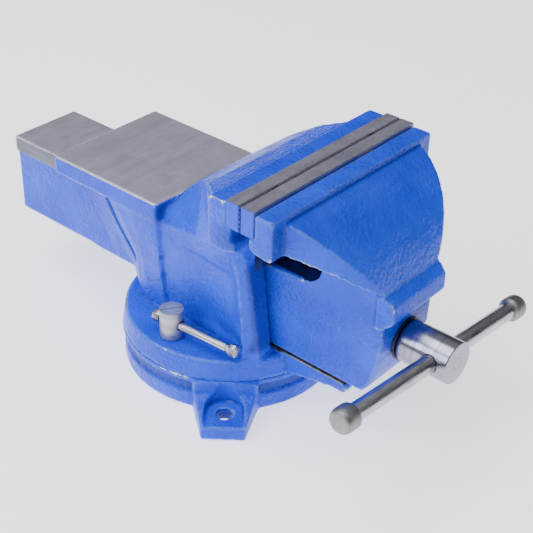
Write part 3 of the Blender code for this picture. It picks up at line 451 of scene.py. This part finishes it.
def casting(mesh, voxel, rounds, softness, painted_shade, shape=None):
    """softness gives the smoothing's weight at each point and the next argument its painted shade, from
    arrays of points.
    """
    skin = remeshed(mesh, voxel)
    web = neighbours(skin)
    points = points_of(skin)
    weight = softness(points)
    write_points(skin, smoothed(points, web, rounds, weight))
    waved(skin, weight)
    if shape:
        write_points(skin, shape(points_of(skin)))
    edge_values(skin, web)
    # Painted shade: how much darker the enamel is at each point, softened over the neighbours.
    shade_share = painted_shade(points_of(skin), normals_of(skin))[:, None]
    for _ in range(2):
        shade_share = mean_around(shade_share, web)
    store(skin, "painted_shade", shade_share[:, 0])
    skin.shade_smooth()
    print("casting:", len(skin.vertices), "points")
    return skin


def paint_where(mesh, slot_number, wanted):
    """Gives a material slot to the faces whose middle and normal satisfy wanted(middle, normal)."""
    for face in mesh.polygons:
        if wanted(face.center, face.normal):
            face.material_index = slot_number


def inside(points, low, high):
    return np.all((points > low) & (points < high), axis=1)


# %% [markdown]
# ## The body
# The body carries the anvil, the guide for the moving jaw and the fixed jaw. The fan behind the jaw
# and the flare under it are the softest parts of the pattern, so they get the full smoothing. The
# anvil's top and the band round the rear step are ground after painting, so they get none, and
# their faces take a ground metal. The groove in each side is made deeper than the model has it.
# %% Fixed body
ANVIL = {"rear": -0.1182, "front": -0.0224, "top": 0.1223, "step_top": 0.1065, "band": 0.0108}


def body_softness(points):
    under_band = ANVIL["step_top"] - ANVIL["band"] - 0.003
    fan = ((-0.030, -0.08, 0.098), (0.0475, 0.08, 0.1690), 1.0)
    fixed_jaw = ((0.0475, -0.08, 0.1425), (0.080, 0.08, 0.180), 0.12)
    rear_step = ((-0.20, -0.06, under_band), (ANVIL["rear"], 0.06, 0.130), 0.0)
    anvil = ((ANVIL["rear"] - 0.001, -0.06, 0.1080), (ANVIL["front"] + 0.001, 0.06, 0.130), 0.0)
    rear_end = ((-0.19, -0.06, 0.0955), (-0.1800, 0.06, 0.1050), 1.0)
    grooved_sides = ((-0.095, -0.06, 0.055), (-0.045, 0.06, 0.108), 0.15)
    return weighted(points, 0.45, (fan, fixed_jaw, rear_step, anvil, rear_end, grooved_sides))


def on_anvil(middle, normal):
    return middle.z > ANVIL["top"] - 0.0009 and middle.x < ANVIL["front"] + 0.001 and normal.z > 0.3


def on_step(middle, normal):
    level = ANVIL["step_top"] - ANVIL["band"] < middle.z < ANVIL["step_top"] + 0.0006
    return level and middle.x < ANVIL["rear"] + 0.0003 and normal.z > 0.5


def on_band(middle, normal):
    level = ANVIL["step_top"] - ANVIL["band"] < middle.z < ANVIL["step_top"] + 0.0004
    return level and middle.x < ANVIL["rear"] + 0.0003 and normal.z <= 0.5


def on_tongue(middle, normal):
    """The upper face of the tongue, drawn as worn and oily."""
    level = 0.0400 < middle.z < 0.0420 and normal.z > 0.6
    return level and 0.050 < middle.x < 0.118 and abs(middle.y) < 0.026


def in_body_core(middle, normal):
    """The guide, the front pocket and the throat under the jaw, which get the dark painted shade."""
    guide = abs(middle.y) < 0.0210 and 0.0550 < middle.z < 0.0995 and -0.1845 < middle.x < 0.0585
    pocket = 0.0492 < middle.x < 0.0588 and abs(middle.y) < 0.0365 and 0.0430 < middle.z < 0.1130
    throat = middle.x > 0.0550 and abs(middle.y) < 0.0450 and 0.1080 < middle.z < 0.1370 and normal.x > 0.3
    return (guide and normal.x < 0.7) or pocket or throat


GROOVE = {"top": (-0.0830, 0.1040), "foot": (-0.0545, 0.0640), "half": 0.0038, "depth": 0.0026}


def groove_reach(points):
    """How deep in the side groove each point lies: 0 outside it and 1 on its middle line."""
    top, foot = np.array(GROOVE["top"]), np.array(GROOVE["foot"])
    flat = points[:, (0, 2)]
    share = np.clip((flat - top) @ (foot - top) / ((foot - top) @ (foot - top)), 0, 1)
    off = np.linalg.norm(flat - top - share[:, None] * (foot - top), axis=1)
    deep = np.clip((GROOVE["half"] - off) / 0.0012, 0, 1)
    return deep * (np.abs(points[:, 1]) > 0.0275)


def grooved(points):
    """Deepens the groove in both sides."""
    points[:, 1] -= np.sign(points[:, 1]) * groove_reach(points) * GROOVE["depth"]
    return points


def body_painted_shade(points, normals):
    """Painted shade: darkens the paint in the groove, on the leg's front, under the jaw and on the anvil's
    front face.
    """
    leg = inside(points, (0.055, -0.06, 0.045), (0.064, 0.06, 0.115)) & (normals[:, 0] > 0.6)
    anvil_front = inside(points, (-0.0234, -0.06, 0.1085), (-0.0214, 0.06, 0.1210)) & (normals[:, 0] > 0.6)
    ledge = inside(points, (0.0560, -0.08, 0.1390), (0.0725, 0.08, 0.1535))
    return np.maximum(groove_reach(points) * 0.85, leg * 0.65) + anvil_front * 0.7 + ledge * 0.35


LUG_SEATS = np.array([(0.04906, -0.05973, 0.0095), (-0.04906, 0.05973, 0.0095)])


def in_lug_hole(points, room):
    """Points of the bolt holes, which lie under their seats' middle."""
    found = np.zeros(len(points), bool)
    for seat in LUG_SEATS:
        off = np.linalg.norm(points[:, :2] - seat[:2], axis=1)
        found |= (off < room) & (points[:, 2] < seat[2] + 0.001)
    return found


def base_softness(points):
    return np.where(in_lug_hole(points, 0.0078), 0.05, 0.6)


def base_painted_shade(points, normals):
    """Painted shade: darkens the recessed waist of the base and the inside of the bolt holes."""
    around = np.linalg.norm(points[:, :2], axis=1)
    waist = (around < 0.0735) * (points[:, 2] > 0.0125) * (points[:, 2] < 0.0212) * 0.55
    return np.maximum(waist, (in_lug_hole(points, 0.0070) & (points[:, 2] < 0.0086)) * 0.75)


def jaw_painted_shade(points, normals):
    """Painted shade: darkens the upright step between the moving jaw's block and its hood."""
    return (inside(points, (0.090, -0.08, 0.140), (0.0985, 0.08, 0.1665)) & (normals[:, 0] > 0.6)) * 0.4


body_skin = casting(merged_copy("fixed_body"), voxel=0.00145, rounds=3, softness=body_softness,
                    painted_shade=body_painted_shade, shape=grooved)
piece("body_casting", body_skin, ENAMEL, "body", "cast_enamel", "fixed_body")
# The insides of the guide, pocket and throat take the dark painted shade; the other rules take ground and
# oily metal.
for coat, rule in ((ANVIL_GROUND, on_anvil), (ANVIL_GROUND, on_step), (BAND_GROUND, on_band),
                   (OILY_SLIDE, on_tongue), (PAINTED_CORE_SHADE, in_body_core)):
    body_skin.materials.append(coat)
    paint_where(body_skin, len(body_skin.materials) - 1, rule)
base_skin = casting(merged_copy("swivel_base"), voxel=0.0012, rounds=3, softness=base_softness,
                    painted_shade=base_painted_shade)
piece("base_casting", base_skin, ENAMEL, "base", "cast_enamel", "swivel_base")


# %% [markdown]
# ## The moving jaw
# Its hood is a quarter of an egg: the side view is one ellipse and the top view another.
# %% Moving jaw
def jaw_softness(points):
    gripping_block = ((0.070, -0.08, 0.140), (0.0968, 0.08, 0.180), 0.12)
    return weighted(points, 0.6, (gripping_block,))


jaw_skin = casting(merged_copy("moving_jaw"), voxel=0.0013, rounds=4, softness=jaw_softness, painted_shade=jaw_painted_shade)
piece("jaw_casting", jaw_skin, ENAMEL, "jaw", "cast_enamel", "moving_jaw")


def in_jaw_core(middle, normal):
    """The chamber behind the thrust wall, the inside of the slide beam and the jaw's side of the throat,
    given the dark painted shade.
    """
    chamber = 0.0890 < middle.x < 0.1215 and abs(middle.y) < 0.0178 and 0.0500 < middle.z < 0.1050
    beam = middle.x < 0.0900 and abs(middle.y) < 0.0150 and middle.z < 0.0935
    throat = 0.0540 < middle.x < 0.0972 and abs(middle.y) < 0.0285 and 0.1050 < middle.z < 0.1400
    return chamber or beam or throat


# The jaw's chamber, beam and throat take the dark painted shade.
jaw_skin.materials.append(PAINTED_CORE_SHADE)
paint_where(jaw_skin, 1, in_jaw_core)


# %% [markdown]
# ## Jaw plates
# Each jaw has a loose steel plate, held by two sunk screws, whose face is cut into small pyramids so
# that it bites. Hundreds of equal teeth on a grid are a job for Geometry Nodes: a grid's points
# carry instances of a four-sided cone, and the points over the screws are left out. The plate behind
# them is lower by the depth of the teeth. Its top is ground with the jaw's, and its ends are painted.
# %% The tree that cuts the teeth
def geometry_tree(name, sockets):
    """An empty Geometry Nodes tree with a geometry input and output and the named inputs."""
    tree = bpy.data.node_groups.new(name, "GeometryNodeTree")
    tree.interface.new_socket("Geometry", in_out="INPUT", socket_type="NodeSocketGeometry")
    for label, kind in sockets.items():
        tree.interface.new_socket(label, in_out="INPUT", socket_type=f"NodeSocket{kind}")
    tree.interface.new_socket("Geometry", in_out="OUTPUT", socket_type="NodeSocketGeometry")
    return tree, tree.nodes.new("NodeGroupInput").outputs


def finish_tree(tree, geometry):
    """Ends a tree in Realize Instances and Set Material."""
    real = add(tree, "GeometryNodeRealizeInstances", {0: geometry})
    coated = add(tree, "GeometryNodeSetMaterial", {"Geometry": real.outputs[0]})
    material = next(item for item in tree.interface.items_tree if item.name == "Material")
    group = next(node for node in tree.nodes if node.bl_idname == "NodeGroupInput")
    tree.links.new(group.outputs[material.name], coated.inputs["Material"])
    add(tree, "NodeGroupOutput", {0: coated.outputs[0]})


def run_tree(tree, mesh, values):
    """Runs a tree on a mesh, its inputs set by their identifiers, and gives back a plain mesh."""
    carrier = object_of("carrier", mesh)
    step = carrier.modifiers.new("nodes", "NODES")
    step.node_group = tree
    for item in tree.interface.items_tree:
        if item.in_out == "INPUT" and item.name in values:
            step[item.identifier] = values[item.name]
    return settle(carrier)


def teeth_tree():
    """Teeth on the YZ plane through the origin, pointing along +X, added to the mesh that comes in."""
    tree, ins = geometry_tree("jaw_teeth", {
        "Height": "Float", "Length": "Float", "Rows": "Int", "Columns": "Int", "Tooth": "Float",
        "Depth": "Float", "Screw Offset": "Float", "Screw Room": "Float", "Material": "Material"})
    grid = add(tree, "GeometryNodeMeshGrid", {"Size X": ins["Height"], "Size Y": ins["Length"],
                                              "Vertices X": ins["Rows"], "Vertices Y": ins["Columns"]})
    where = add(tree, "ShaderNodeSeparateXYZ", {0: add(tree, "GeometryNodeInputPosition").outputs[0]})
    aside = math_of(tree, "SUBTRACT", math_of(tree, "ABSOLUTE", where.outputs["Y"], 0.0), ins["Screw Offset"])
    flat = add(tree, "ShaderNodeCombineXYZ", {"X": where.outputs["X"], "Y": aside})
    reach = vector_of(tree, "LENGTH", flat.outputs[0]).outputs["Value"]
    near_screw = add(tree, "FunctionNodeCompare", {0: reach, 1: ins["Screw Room"]}, operation="LESS_THAN")
    kept = add(tree, "GeometryNodeDeleteGeometry", {"Geometry": grid.outputs["Mesh"],
                                                    "Selection": near_screw.outputs[0]})
    cone = add(tree, "GeometryNodeMeshCone", {"Vertices": 4, "Radius Top": 0.00035,
                                              "Radius Bottom": ins["Tooth"], "Depth": ins["Depth"]})
    eighth_turn = (0, 0, math.radians(45))
    teeth = add(tree, "GeometryNodeInstanceOnPoints", {"Points": kept.outputs[0], "Rotation": eighth_turn,
                                                       "Instance": cone.outputs["Mesh"]})
    upright = add(tree, "GeometryNodeTransform", {"Geometry": teeth.outputs[0],
                                                  "Rotation": (0, math.radians(90), 0)})
    joined = add(tree, "GeometryNodeJoinGeometry", {0: upright.outputs[0]})
    tree.links.new(ins["Geometry"], joined.inputs[0])
    finish_tree(tree, joined.outputs[0])
    return tree


# %% Two toothed plates
TOOTH_DEPTH = 0.0007
TOOTH_PITCH = 0.0025
SCREW_OFFSET = 0.046
SINK_RADIUS = 0.0066
TEETH = teeth_tree()


def plate_blank(low, high, face_x):
    """The plate without its teeth: a box with finely broken edges and the two screw sinks."""
    bm = bmesh.new()
    box = Matrix.Translation((low + high) / 2) @ Matrix.Diagonal((*(high - low), 1))
    bmesh.ops.create_cube(bm, size=1, matrix=box)
    bmesh.ops.bevel(bm, geom=bm.edges[:], offset=0.0003, segments=2, affect="EDGES")
    sinks = []
    for turn in (-1, 1):
        sink = bmesh.new()
        bmesh.ops.create_cone(sink, cap_ends=True, segments=40, radius1=SINK_RADIUS, radius2=SINK_RADIUS,
                              depth=0.012)
        spot = Vector((face_x, turn * SCREW_OFFSET, (low.z + high.z) / 2))
        sink.transform(Matrix.Translation(spot) @ Matrix.Rotation(math.pi / 2, 4, "Y"))
        sinks.append(from_bmesh(sink, "sink"))
    return cut_out(from_bmesh(bm, "plate_blank"), *sinks)


for label, side, body in (("fixed", -1, "body"), ("moving", 1, "jaw")):
    node = f"{label}_jaw_plate"
    low, high = (Vector(corner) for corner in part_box(node))
    face_x = high.x if side == -1 else low.x
    if side == -1:
        high.x -= TOOTH_DEPTH
    else:
        low.x += TOOTH_DEPTH
    root_x = high.x if side == -1 else low.x
    middle = Vector((root_x - side * TOOTH_DEPTH / 2, 0, (low.z + high.z) / 2))
    place = Matrix.Translation(middle) @ Matrix.Rotation(0 if side == -1 else math.pi, 4, "Z")
    blank = plate_blank(low, high, face_x)
    blank.transform(place.inverted())
    size = high - low
    plate = run_tree(TEETH, blank, {
        "Height": size.z - TOOTH_PITCH, "Length": size.y - TOOTH_PITCH, "Rows": int(size.z / TOOTH_PITCH),
        "Columns": int(size.y / TOOTH_PITCH), "Tooth": TOOTH_PITCH * 0.66, "Depth": TOOTH_DEPTH,
        "Screw Offset": SCREW_OFFSET, "Screw Room": SINK_RADIUS + 0.0012, "Material": JAW_GROUND})
    plate.transform(place)
    made = piece(f"{label}_toothed_plate", plate, None, body, "jaw_steel", node)
    plate.materials.append(ENAMEL)
    end = size.y / 2 - 0.0002
    paint_where(plate, len(plate.materials) - 1,
                lambda centre, normal: abs(centre.y) > end - 0.0012 and abs(normal.y) > 0.35)
    print(made.name, len(plate.polygons), "faces")


# %% [markdown]
# ## Turned pieces
# The spindle's head, the handle and the locks are lathe work. One function spins a profile of
# (radius, height) points; a matrix puts it on its axis.
# %% Lathe
def lathe(profile, place, steps=72):
    """Spins a profile round Z and puts it in place. The profile starts and ends on the axis."""
    bm = bmesh.new()
    rings = []
    for radius, height in profile:
        if radius == 0:
            rings.append([bm.verts.new((0, 0, height))] * steps)
            continue
        turns = [2 * math.pi * i / steps for i in range(steps)]
        rings.append([bm.verts.new((radius * math.cos(t), radius * math.sin(t), height)) for t in turns])
    for lower, upper in zip(rings, rings[1:]):
        for i in range(steps):
            after = (i + 1) % steps
            corners = dict.fromkeys((lower[i], lower[after], upper[after], upper[i]))
            bm.faces.new(list(corners))
    bm.transform(place)
    bmesh.ops.recalc_face_normals(bm, faces=bm.faces)
    return from_bmesh(bm, "turned")


def rounded(points, edge, parts=4):
    """Rounds the inner corners of a profile by this edge, with short arcs."""
    out = [points[0]]
    for before, corner, after in zip(points, points[1:], points[2:]):
        here = Vector(corner)
        back, ahead = (Vector(before) - here), (Vector(after) - here)
        reach = min(edge, back.length / 2, ahead.length / 2)
        start, end = here + back.normalized() * reach, here + ahead.normalized() * reach
        for i in range(parts + 1):
            share = i / parts
            out.append(tuple(start.lerp(here, share).lerp(here.lerp(end, share), share)))
    return out + [points[-1]]


def along(axis, place):
    """Puts a shape's Z axis along this axis, with its origin at place."""
    return Matrix.Translation(place) @ Vector(axis).to_track_quat("Z", "Y").to_matrix().to_4x4()


def drilled(mesh, radius, axis, place, reach=0.04):
    """Cuts a round hole right through along axis."""
    drill = [(0, -reach), (radius, -reach), (radius, reach), (0, reach)]
    return cut_out(mesh, lathe(drill, along(axis, place), 40))


def shade_turned(mesh):
    mesh.shade_smooth()
    mesh.set_sharp_from_angle(angle=math.radians(40))
    return mesh


# %% [markdown]
# ## Spindle and its thread
# The spindle is one bar: a thick head with the eye for the handle, a plain shank and a long
# trapezoidal thread of 5 mm pitch. A screw thread is a profile swept along a helix, so it is made
# with Geometry Nodes from a spiral curve.
# %% Thread and spindle
def thread_tree():
    """A ridge of square section, corner out, on a helix along Z: it comes out as a mesh."""
    tree, ins = geometry_tree("spindle_thread", {"Turns": "Float", "Length": "Float", "Radius": "Float",
                                                 "Ridge": "Float", "Material": "Material"})
    helix = add(tree, "GeometryNodeCurveSpiral", {"Resolution": 28, "Rotations": ins["Turns"],
                                                  "Start Radius": ins["Radius"], "End Radius": ins["Radius"],
                                                  "Height": ins["Length"]})
    upright = add(tree, "GeometryNodeSetCurveNormal", {0: helix.outputs[0]}, mode="Z_UP")
    square = {"Resolution": 4, "Radius": ins["Ridge"]}
    ridge = add(tree, "GeometryNodeCurvePrimitiveCircle", square, mode="RADIUS")
    swept = add(tree, "GeometryNodeCurveToMesh", {"Curve": upright.outputs[0], "Fill Caps": True,
                                                  "Profile Curve": ridge.outputs[0]})
    joined = add(tree, "GeometryNodeJoinGeometry", {0: swept.outputs[0]})
    tree.links.new(ins["Geometry"], joined.inputs[0])
    finish_tree(tree, joined.outputs[0])
    return tree


THREAD_PITCH = 0.005
SPINDLE_Z = 0.0757
TILT = math.radians(-6)
spindle_low, spindle_high = (Vector(corner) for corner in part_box("spindle"))
head_front, thread_rear, head_radius = spindle_high.x, spindle_low.x, (spindle_high.y - spindle_low.y) / 2
bearing_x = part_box("thrust_washer")[1][0] + 0.0003
along_x = along((1, 0, 0), (0, 0, SPINDLE_Z))
handle_axis = Vector((0, math.cos(TILT), math.sin(TILT)))
HANDLE_X = 0.1657
HANDLE_RADIUS = 0.0055
THREAD_FRONT = 0.085
CROWN = 0.0100
RIDGE = 0.0017
SHANK_RADIUS = 0.0113
core = CROWN - RIDGE
shank = rounded([(0, thread_rear), (core, thread_rear), (core, THREAD_FRONT + 0.006),
                 (SHANK_RADIUS, THREAD_FRONT + 0.008), (SHANK_RADIUS, bearing_x + 0.0005),
                 (head_radius - 0.0003, bearing_x), (head_radius, bearing_x + 0.002),
                 (head_radius, head_front), (0, head_front)], 0.0009)
screw = drilled(lathe(shank, along_x), HANDLE_RADIUS + 0.0004, handle_axis, (HANDLE_X, 0, SPINDLE_Z))
turns = (THREAD_FRONT - thread_rear - 0.006) / THREAD_PITCH
helix_place = along_x @ Matrix.Translation((0, 0, thread_rear + 0.003))
SPINDLE_STEEL = turned_steel("turned_spindle_steel", (1, 0, 0), (0, 0, SPINDLE_Z), "7A7985", "A8A7B2")
screw.transform(helix_place.inverted())
screw = run_tree(thread_tree(), screw, {"Turns": turns, "Length": turns * THREAD_PITCH, "Radius": core,
                                        "Ridge": RIDGE, "Material": SPINDLE_STEEL})
screw.transform(helix_place)
piece("threaded_spindle", shade_turned(screw), None, "spindle", "turned_steel", "spindle")
print("spindle:", round(turns, 1), "turns of thread")

# %% [markdown]
# ## Handle
# A plain bar slides through the spindle's eye, and a knob pressed on each end keeps it there. The
# knobs are rounded over and have a fine groove where the bar enters.
# %% Handle bar and knobs
HANDLE_STEEL = drawn_steel("drawn_handle_steel", (1, 0.03, 1))
KNOB_STEEL = turned_steel("turned_knob_steel", tuple(handle_axis), (HANDLE_X, 0, SPINDLE_Z),
                          "7C7C7A", "A3A2A0", 0.42)
KNOB_RADIUS = 0.0079


def span_along(node, axis, through):
    """How far a node reaches along an axis, from the point through."""
    corners = np.array([vertex.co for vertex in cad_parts[node].data.vertices])
    reach = (corners - np.array(through)) @ np.array(axis)
    return reach.min(), reach.max()


eye = Vector((HANDLE_X, 0, SPINDLE_Z))
bar_low, bar_high = span_along("spindle_handle", handle_axis, eye)
bar_outline = [(0, bar_low), (HANDLE_RADIUS, bar_low), (HANDLE_RADIUS, bar_high), (0, bar_high)]
bar = lathe(rounded(bar_outline, 0.0004), along(handle_axis, eye))
piece("handle_bar", shade_turned(bar), HANDLE_STEEL, "handle", "turned_steel", "spindle_handle")
for label, step in (("near", -1), ("far", 1)):
    low, high = span_along(f"handle_knob_{label}", handle_axis, eye)
    inner, outer = (high, low) if step == -1 else (low, high)
    outline = [(0, inner), (0.0062, inner), (0.0066, inner + step * 0.0008),
               (0.0078, inner + step * 0.0016), (KNOB_RADIUS, inner + step * 0.0045),
               (KNOB_RADIUS, outer - step * 0.0035), (0.0068, outer - step * 0.0010),
               (0.0035, outer), (0, outer)]
    knob = lathe(rounded(outline, 0.0014), along(handle_axis, eye))
    piece(f"turned_knob_{label}", shade_turned(knob), KNOB_STEEL, "handle", "turned_steel",
          f"handle_knob_{label}")

# %% [markdown]
# ## Swivel locks
# Each lock is a tall round nut with a cross bar that slides through it. A fine cut runs across the
# nut's top, and a small faceted knob is riveted on each end of the bar.
# %% Lock nuts and bars
def slit(mesh, place, width=0.0007, depth=0.0009):
    """A fine saw cut across the top of a nut."""
    saw = bmesh.new()
    bmesh.ops.create_cube(saw, size=1, matrix=place @ Matrix.Diagonal((0.03, width, 2 * depth, 1)))
    return cut_out(mesh, from_bmesh(saw, "saw"))


NUT_RADIUS = 0.0080
CROSS_BAR_RADIUS = 0.0031
NECK_RADIUS = 0.0026
LOCK_KNOB_RADIUS = 0.0044
LEAN = math.radians(4.6)
for label, side in (("near", -1), ("far", 1)):
    lean = LEAN * -side
    bar_axis = Vector((math.cos(lean), math.sin(lean), 0))
    nut_low, nut_high = (Vector(corner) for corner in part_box(f"{label}_lock_nut"))
    centre = Vector(((nut_low.x + nut_high.x) / 2, (nut_low.y + nut_high.y) / 2, 0))
    height = (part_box(f"{label}_lock_bar")[0][2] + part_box(f"{label}_lock_bar")[1][2]) / 2
    barrel = lathe(rounded([(0, nut_low.z), (NUT_RADIUS, nut_low.z), (NUT_RADIUS, nut_high.z - 0.0001),
                            (0, nut_high.z)], 0.0006), Matrix.Translation(centre))
    barrel = drilled(barrel, CROSS_BAR_RADIUS + 0.0006, bar_axis, (centre.x, centre.y, height))
    nut_top = Matrix.Translation((centre.x, centre.y, nut_high.z))
    barrel = slit(barrel, nut_top @ Matrix.Rotation(lean + 0.9, 4, "Z"))
    nut_steel = turned_steel(f"turned_{label}_nut_steel", (0, 0, 1), centre, "9A999E", "BFBEC2", 0.34,
                             metallic=0.6)
    piece(f"{label}_turned_nut", shade_turned(barrel), nut_steel, f"{label}_lock", "turned_steel",
          f"{label}_lock_nut")
    axle = Vector((centre.x, centre.y, height))
    bar_steel = drawn_steel(f"bright_{label}_lock_bar", (0.03, 1, 1), "8F8E94", "BDBCC2")
    low, high = span_along(f"{label}_lock_bar", bar_axis, axle)
    necks = [(0, low), (CROSS_BAR_RADIUS, low), (CROSS_BAR_RADIUS, high - 0.0050),
             (NECK_RADIUS, high - 0.0046), (NECK_RADIUS, high - 0.0036),
             (CROSS_BAR_RADIUS, high - 0.0032), (CROSS_BAR_RADIUS, high), (0, high)]
    rod = lathe(necks, along(bar_axis, axle), 48)
    piece(f"{label}_cross_bar", shade_turned(rod), bar_steel, f"{label}_bar", "turned_steel",
          f"{label}_lock_bar")
    for end in ("rear", "front"):
        low, high = span_along(f"{label}_lock_knob_{end}", bar_axis, axle)
        outline = [(0, low), (LOCK_KNOB_RADIUS, low), (LOCK_KNOB_RADIUS, high), (0, high)]
        facets = lathe(rounded(outline, 0.0010, 2), along(bar_axis, axle), 8)
        facets.set_sharp_from_angle(angle=math.radians(20))
        piece(f"{label}_riveted_knob_{end}", facets, bar_steel, f"{label}_bar", "turned_steel",
              f"{label}_lock_knob_{end}")

# %% [markdown]
# ## Pieces that keep the model's shape
# Washers, screws, bolts, the nut and the spring are small or hidden, and their modelled shape is
# right, so they only get their materials.
# %% Dress the rest
OILED_NODES = ["thrust_washer", "return_spring", "split_pin", "spring_collar", "nut_clamp_bolt",
               "nut_clamp_washer", "near_t_bolt", "far_t_bolt", "fixed_plate_screw_near",
               "fixed_plate_screw_far", "moving_plate_screw_near", "moving_plate_screw_far"]
for node, material in [(name, OILED) for name in OILED_NODES] + [("spindle_nut", BARE_IRON)]:
    for material_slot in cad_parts[node].material_slots:
        material_slot.material = material


# %% [markdown]
# ## Camera, floor and light
# The view is from the front and the near side, from above. The light is a large soft box on the
# near side and a weaker one overhead, over a white floor, so the near faces are the lightest and
# the front ones the darkest.
# %% Camera, floor and light
def look_from(azimuth, elevation, roll, distance, target):
    """Camera matrix: azimuth 0 looks along +Y, and 90 along -X. Angles in degrees."""
    turn, lift, lean = (math.radians(angle) for angle in (azimuth, elevation, roll))
    back = Vector((math.sin(turn) * math.cos(lift), -math.cos(turn) * math.cos(lift), math.sin(lift)))
    right = Vector((math.cos(turn), math.sin(turn), 0))
    up = back.cross(right)
    across = right * math.cos(lean) + up * math.sin(lean)
    above = up * math.cos(lean) - right * math.sin(lean)
    matrix = Matrix((across, above, back)).transposed().to_4x4()
    matrix.translation = Vector(target) + back * distance
    return matrix


camera = object_of("camera", bpy.data.cameras.new("camera"))
camera.data.sensor_width = 36
camera.data.lens = 81.08
camera.matrix_world = look_from(azimuth=40.15, elevation=33.32, roll=1.56, distance=0.8211,
                                target=(0.0059, 0.0288, 0.0526))
bpy.context.scene.camera = camera


def soft_box(name, place, target, size, power, colour):
    data = bpy.data.lights.new(name, "AREA")
    data.shape = "RECTANGLE"
    data.size, data.size_y = size
    data.energy = power
    data.color = linear(colour)[:3]
    made = object_of(name, data)
    made.location = place
    made.rotation_euler = (Vector(target) - Vector(place)).to_track_quat("-Z", "Y").to_euler()


soft_box("near_side_box", place=(-0.50, -1.35, 0.95), target=(0, 0, 0.07), size=(1.1, 0.8),
         power=17, colour="E4EAFF")
soft_box("overhead_box", place=(-0.20, -0.40, 1.5), target=(0, 0, 0.05), size=(1.0, 1.0),
         power=18, colour="F1F0FF")

world = bpy.data.worlds.new("pale_studio")
world.use_nodes = True
sky = world.node_tree
# The studio is dim to the sides and pale overhead, which gives bright steel its dark bands.
sight = add(sky, "ShaderNodeTexCoord").outputs["Generated"]
rise = add(sky, "ShaderNodeSeparateXYZ", {0: sight}).outputs["Z"]
sky_tone = mix_colour(sky, between(sky, rise, 0.20, 0.80), linear("50525C"), linear("F4F6FA"))
sky.links.new(sky_tone, sky.nodes["Background"].inputs["Color"])
sky.nodes["Background"].inputs["Strength"].default_value = 0.5
bpy.context.scene.world = world

floor_mesh = bmesh.new()
bmesh.ops.create_grid(floor_mesh, x_segments=1, y_segments=1, size=25)
floor = object_of("floor", from_bmesh(floor_mesh, "floor"))
floor.location = (0, 0, -0.0002)
paper, paper_tree, paper_shader, paper_place = new_material("white_paper_sweep")
fibre = noise_at(paper_tree, paper_place, 400, 2)
paper_tone = mix_colour(paper_tree, fibre, linear("F2F2F2"), linear("F8F8F8"))
paper_tree.links.new(paper_tone, paper_shader.inputs["Base Color"])
paper_shader.inputs["Roughness"].default_value = 0.9
paper_shader.inputs["Emission Color"].default_value = linear("FFFFFF")
paper_shader.inputs["Emission Strength"].default_value = 1.3
floor.data.materials.append(paper)
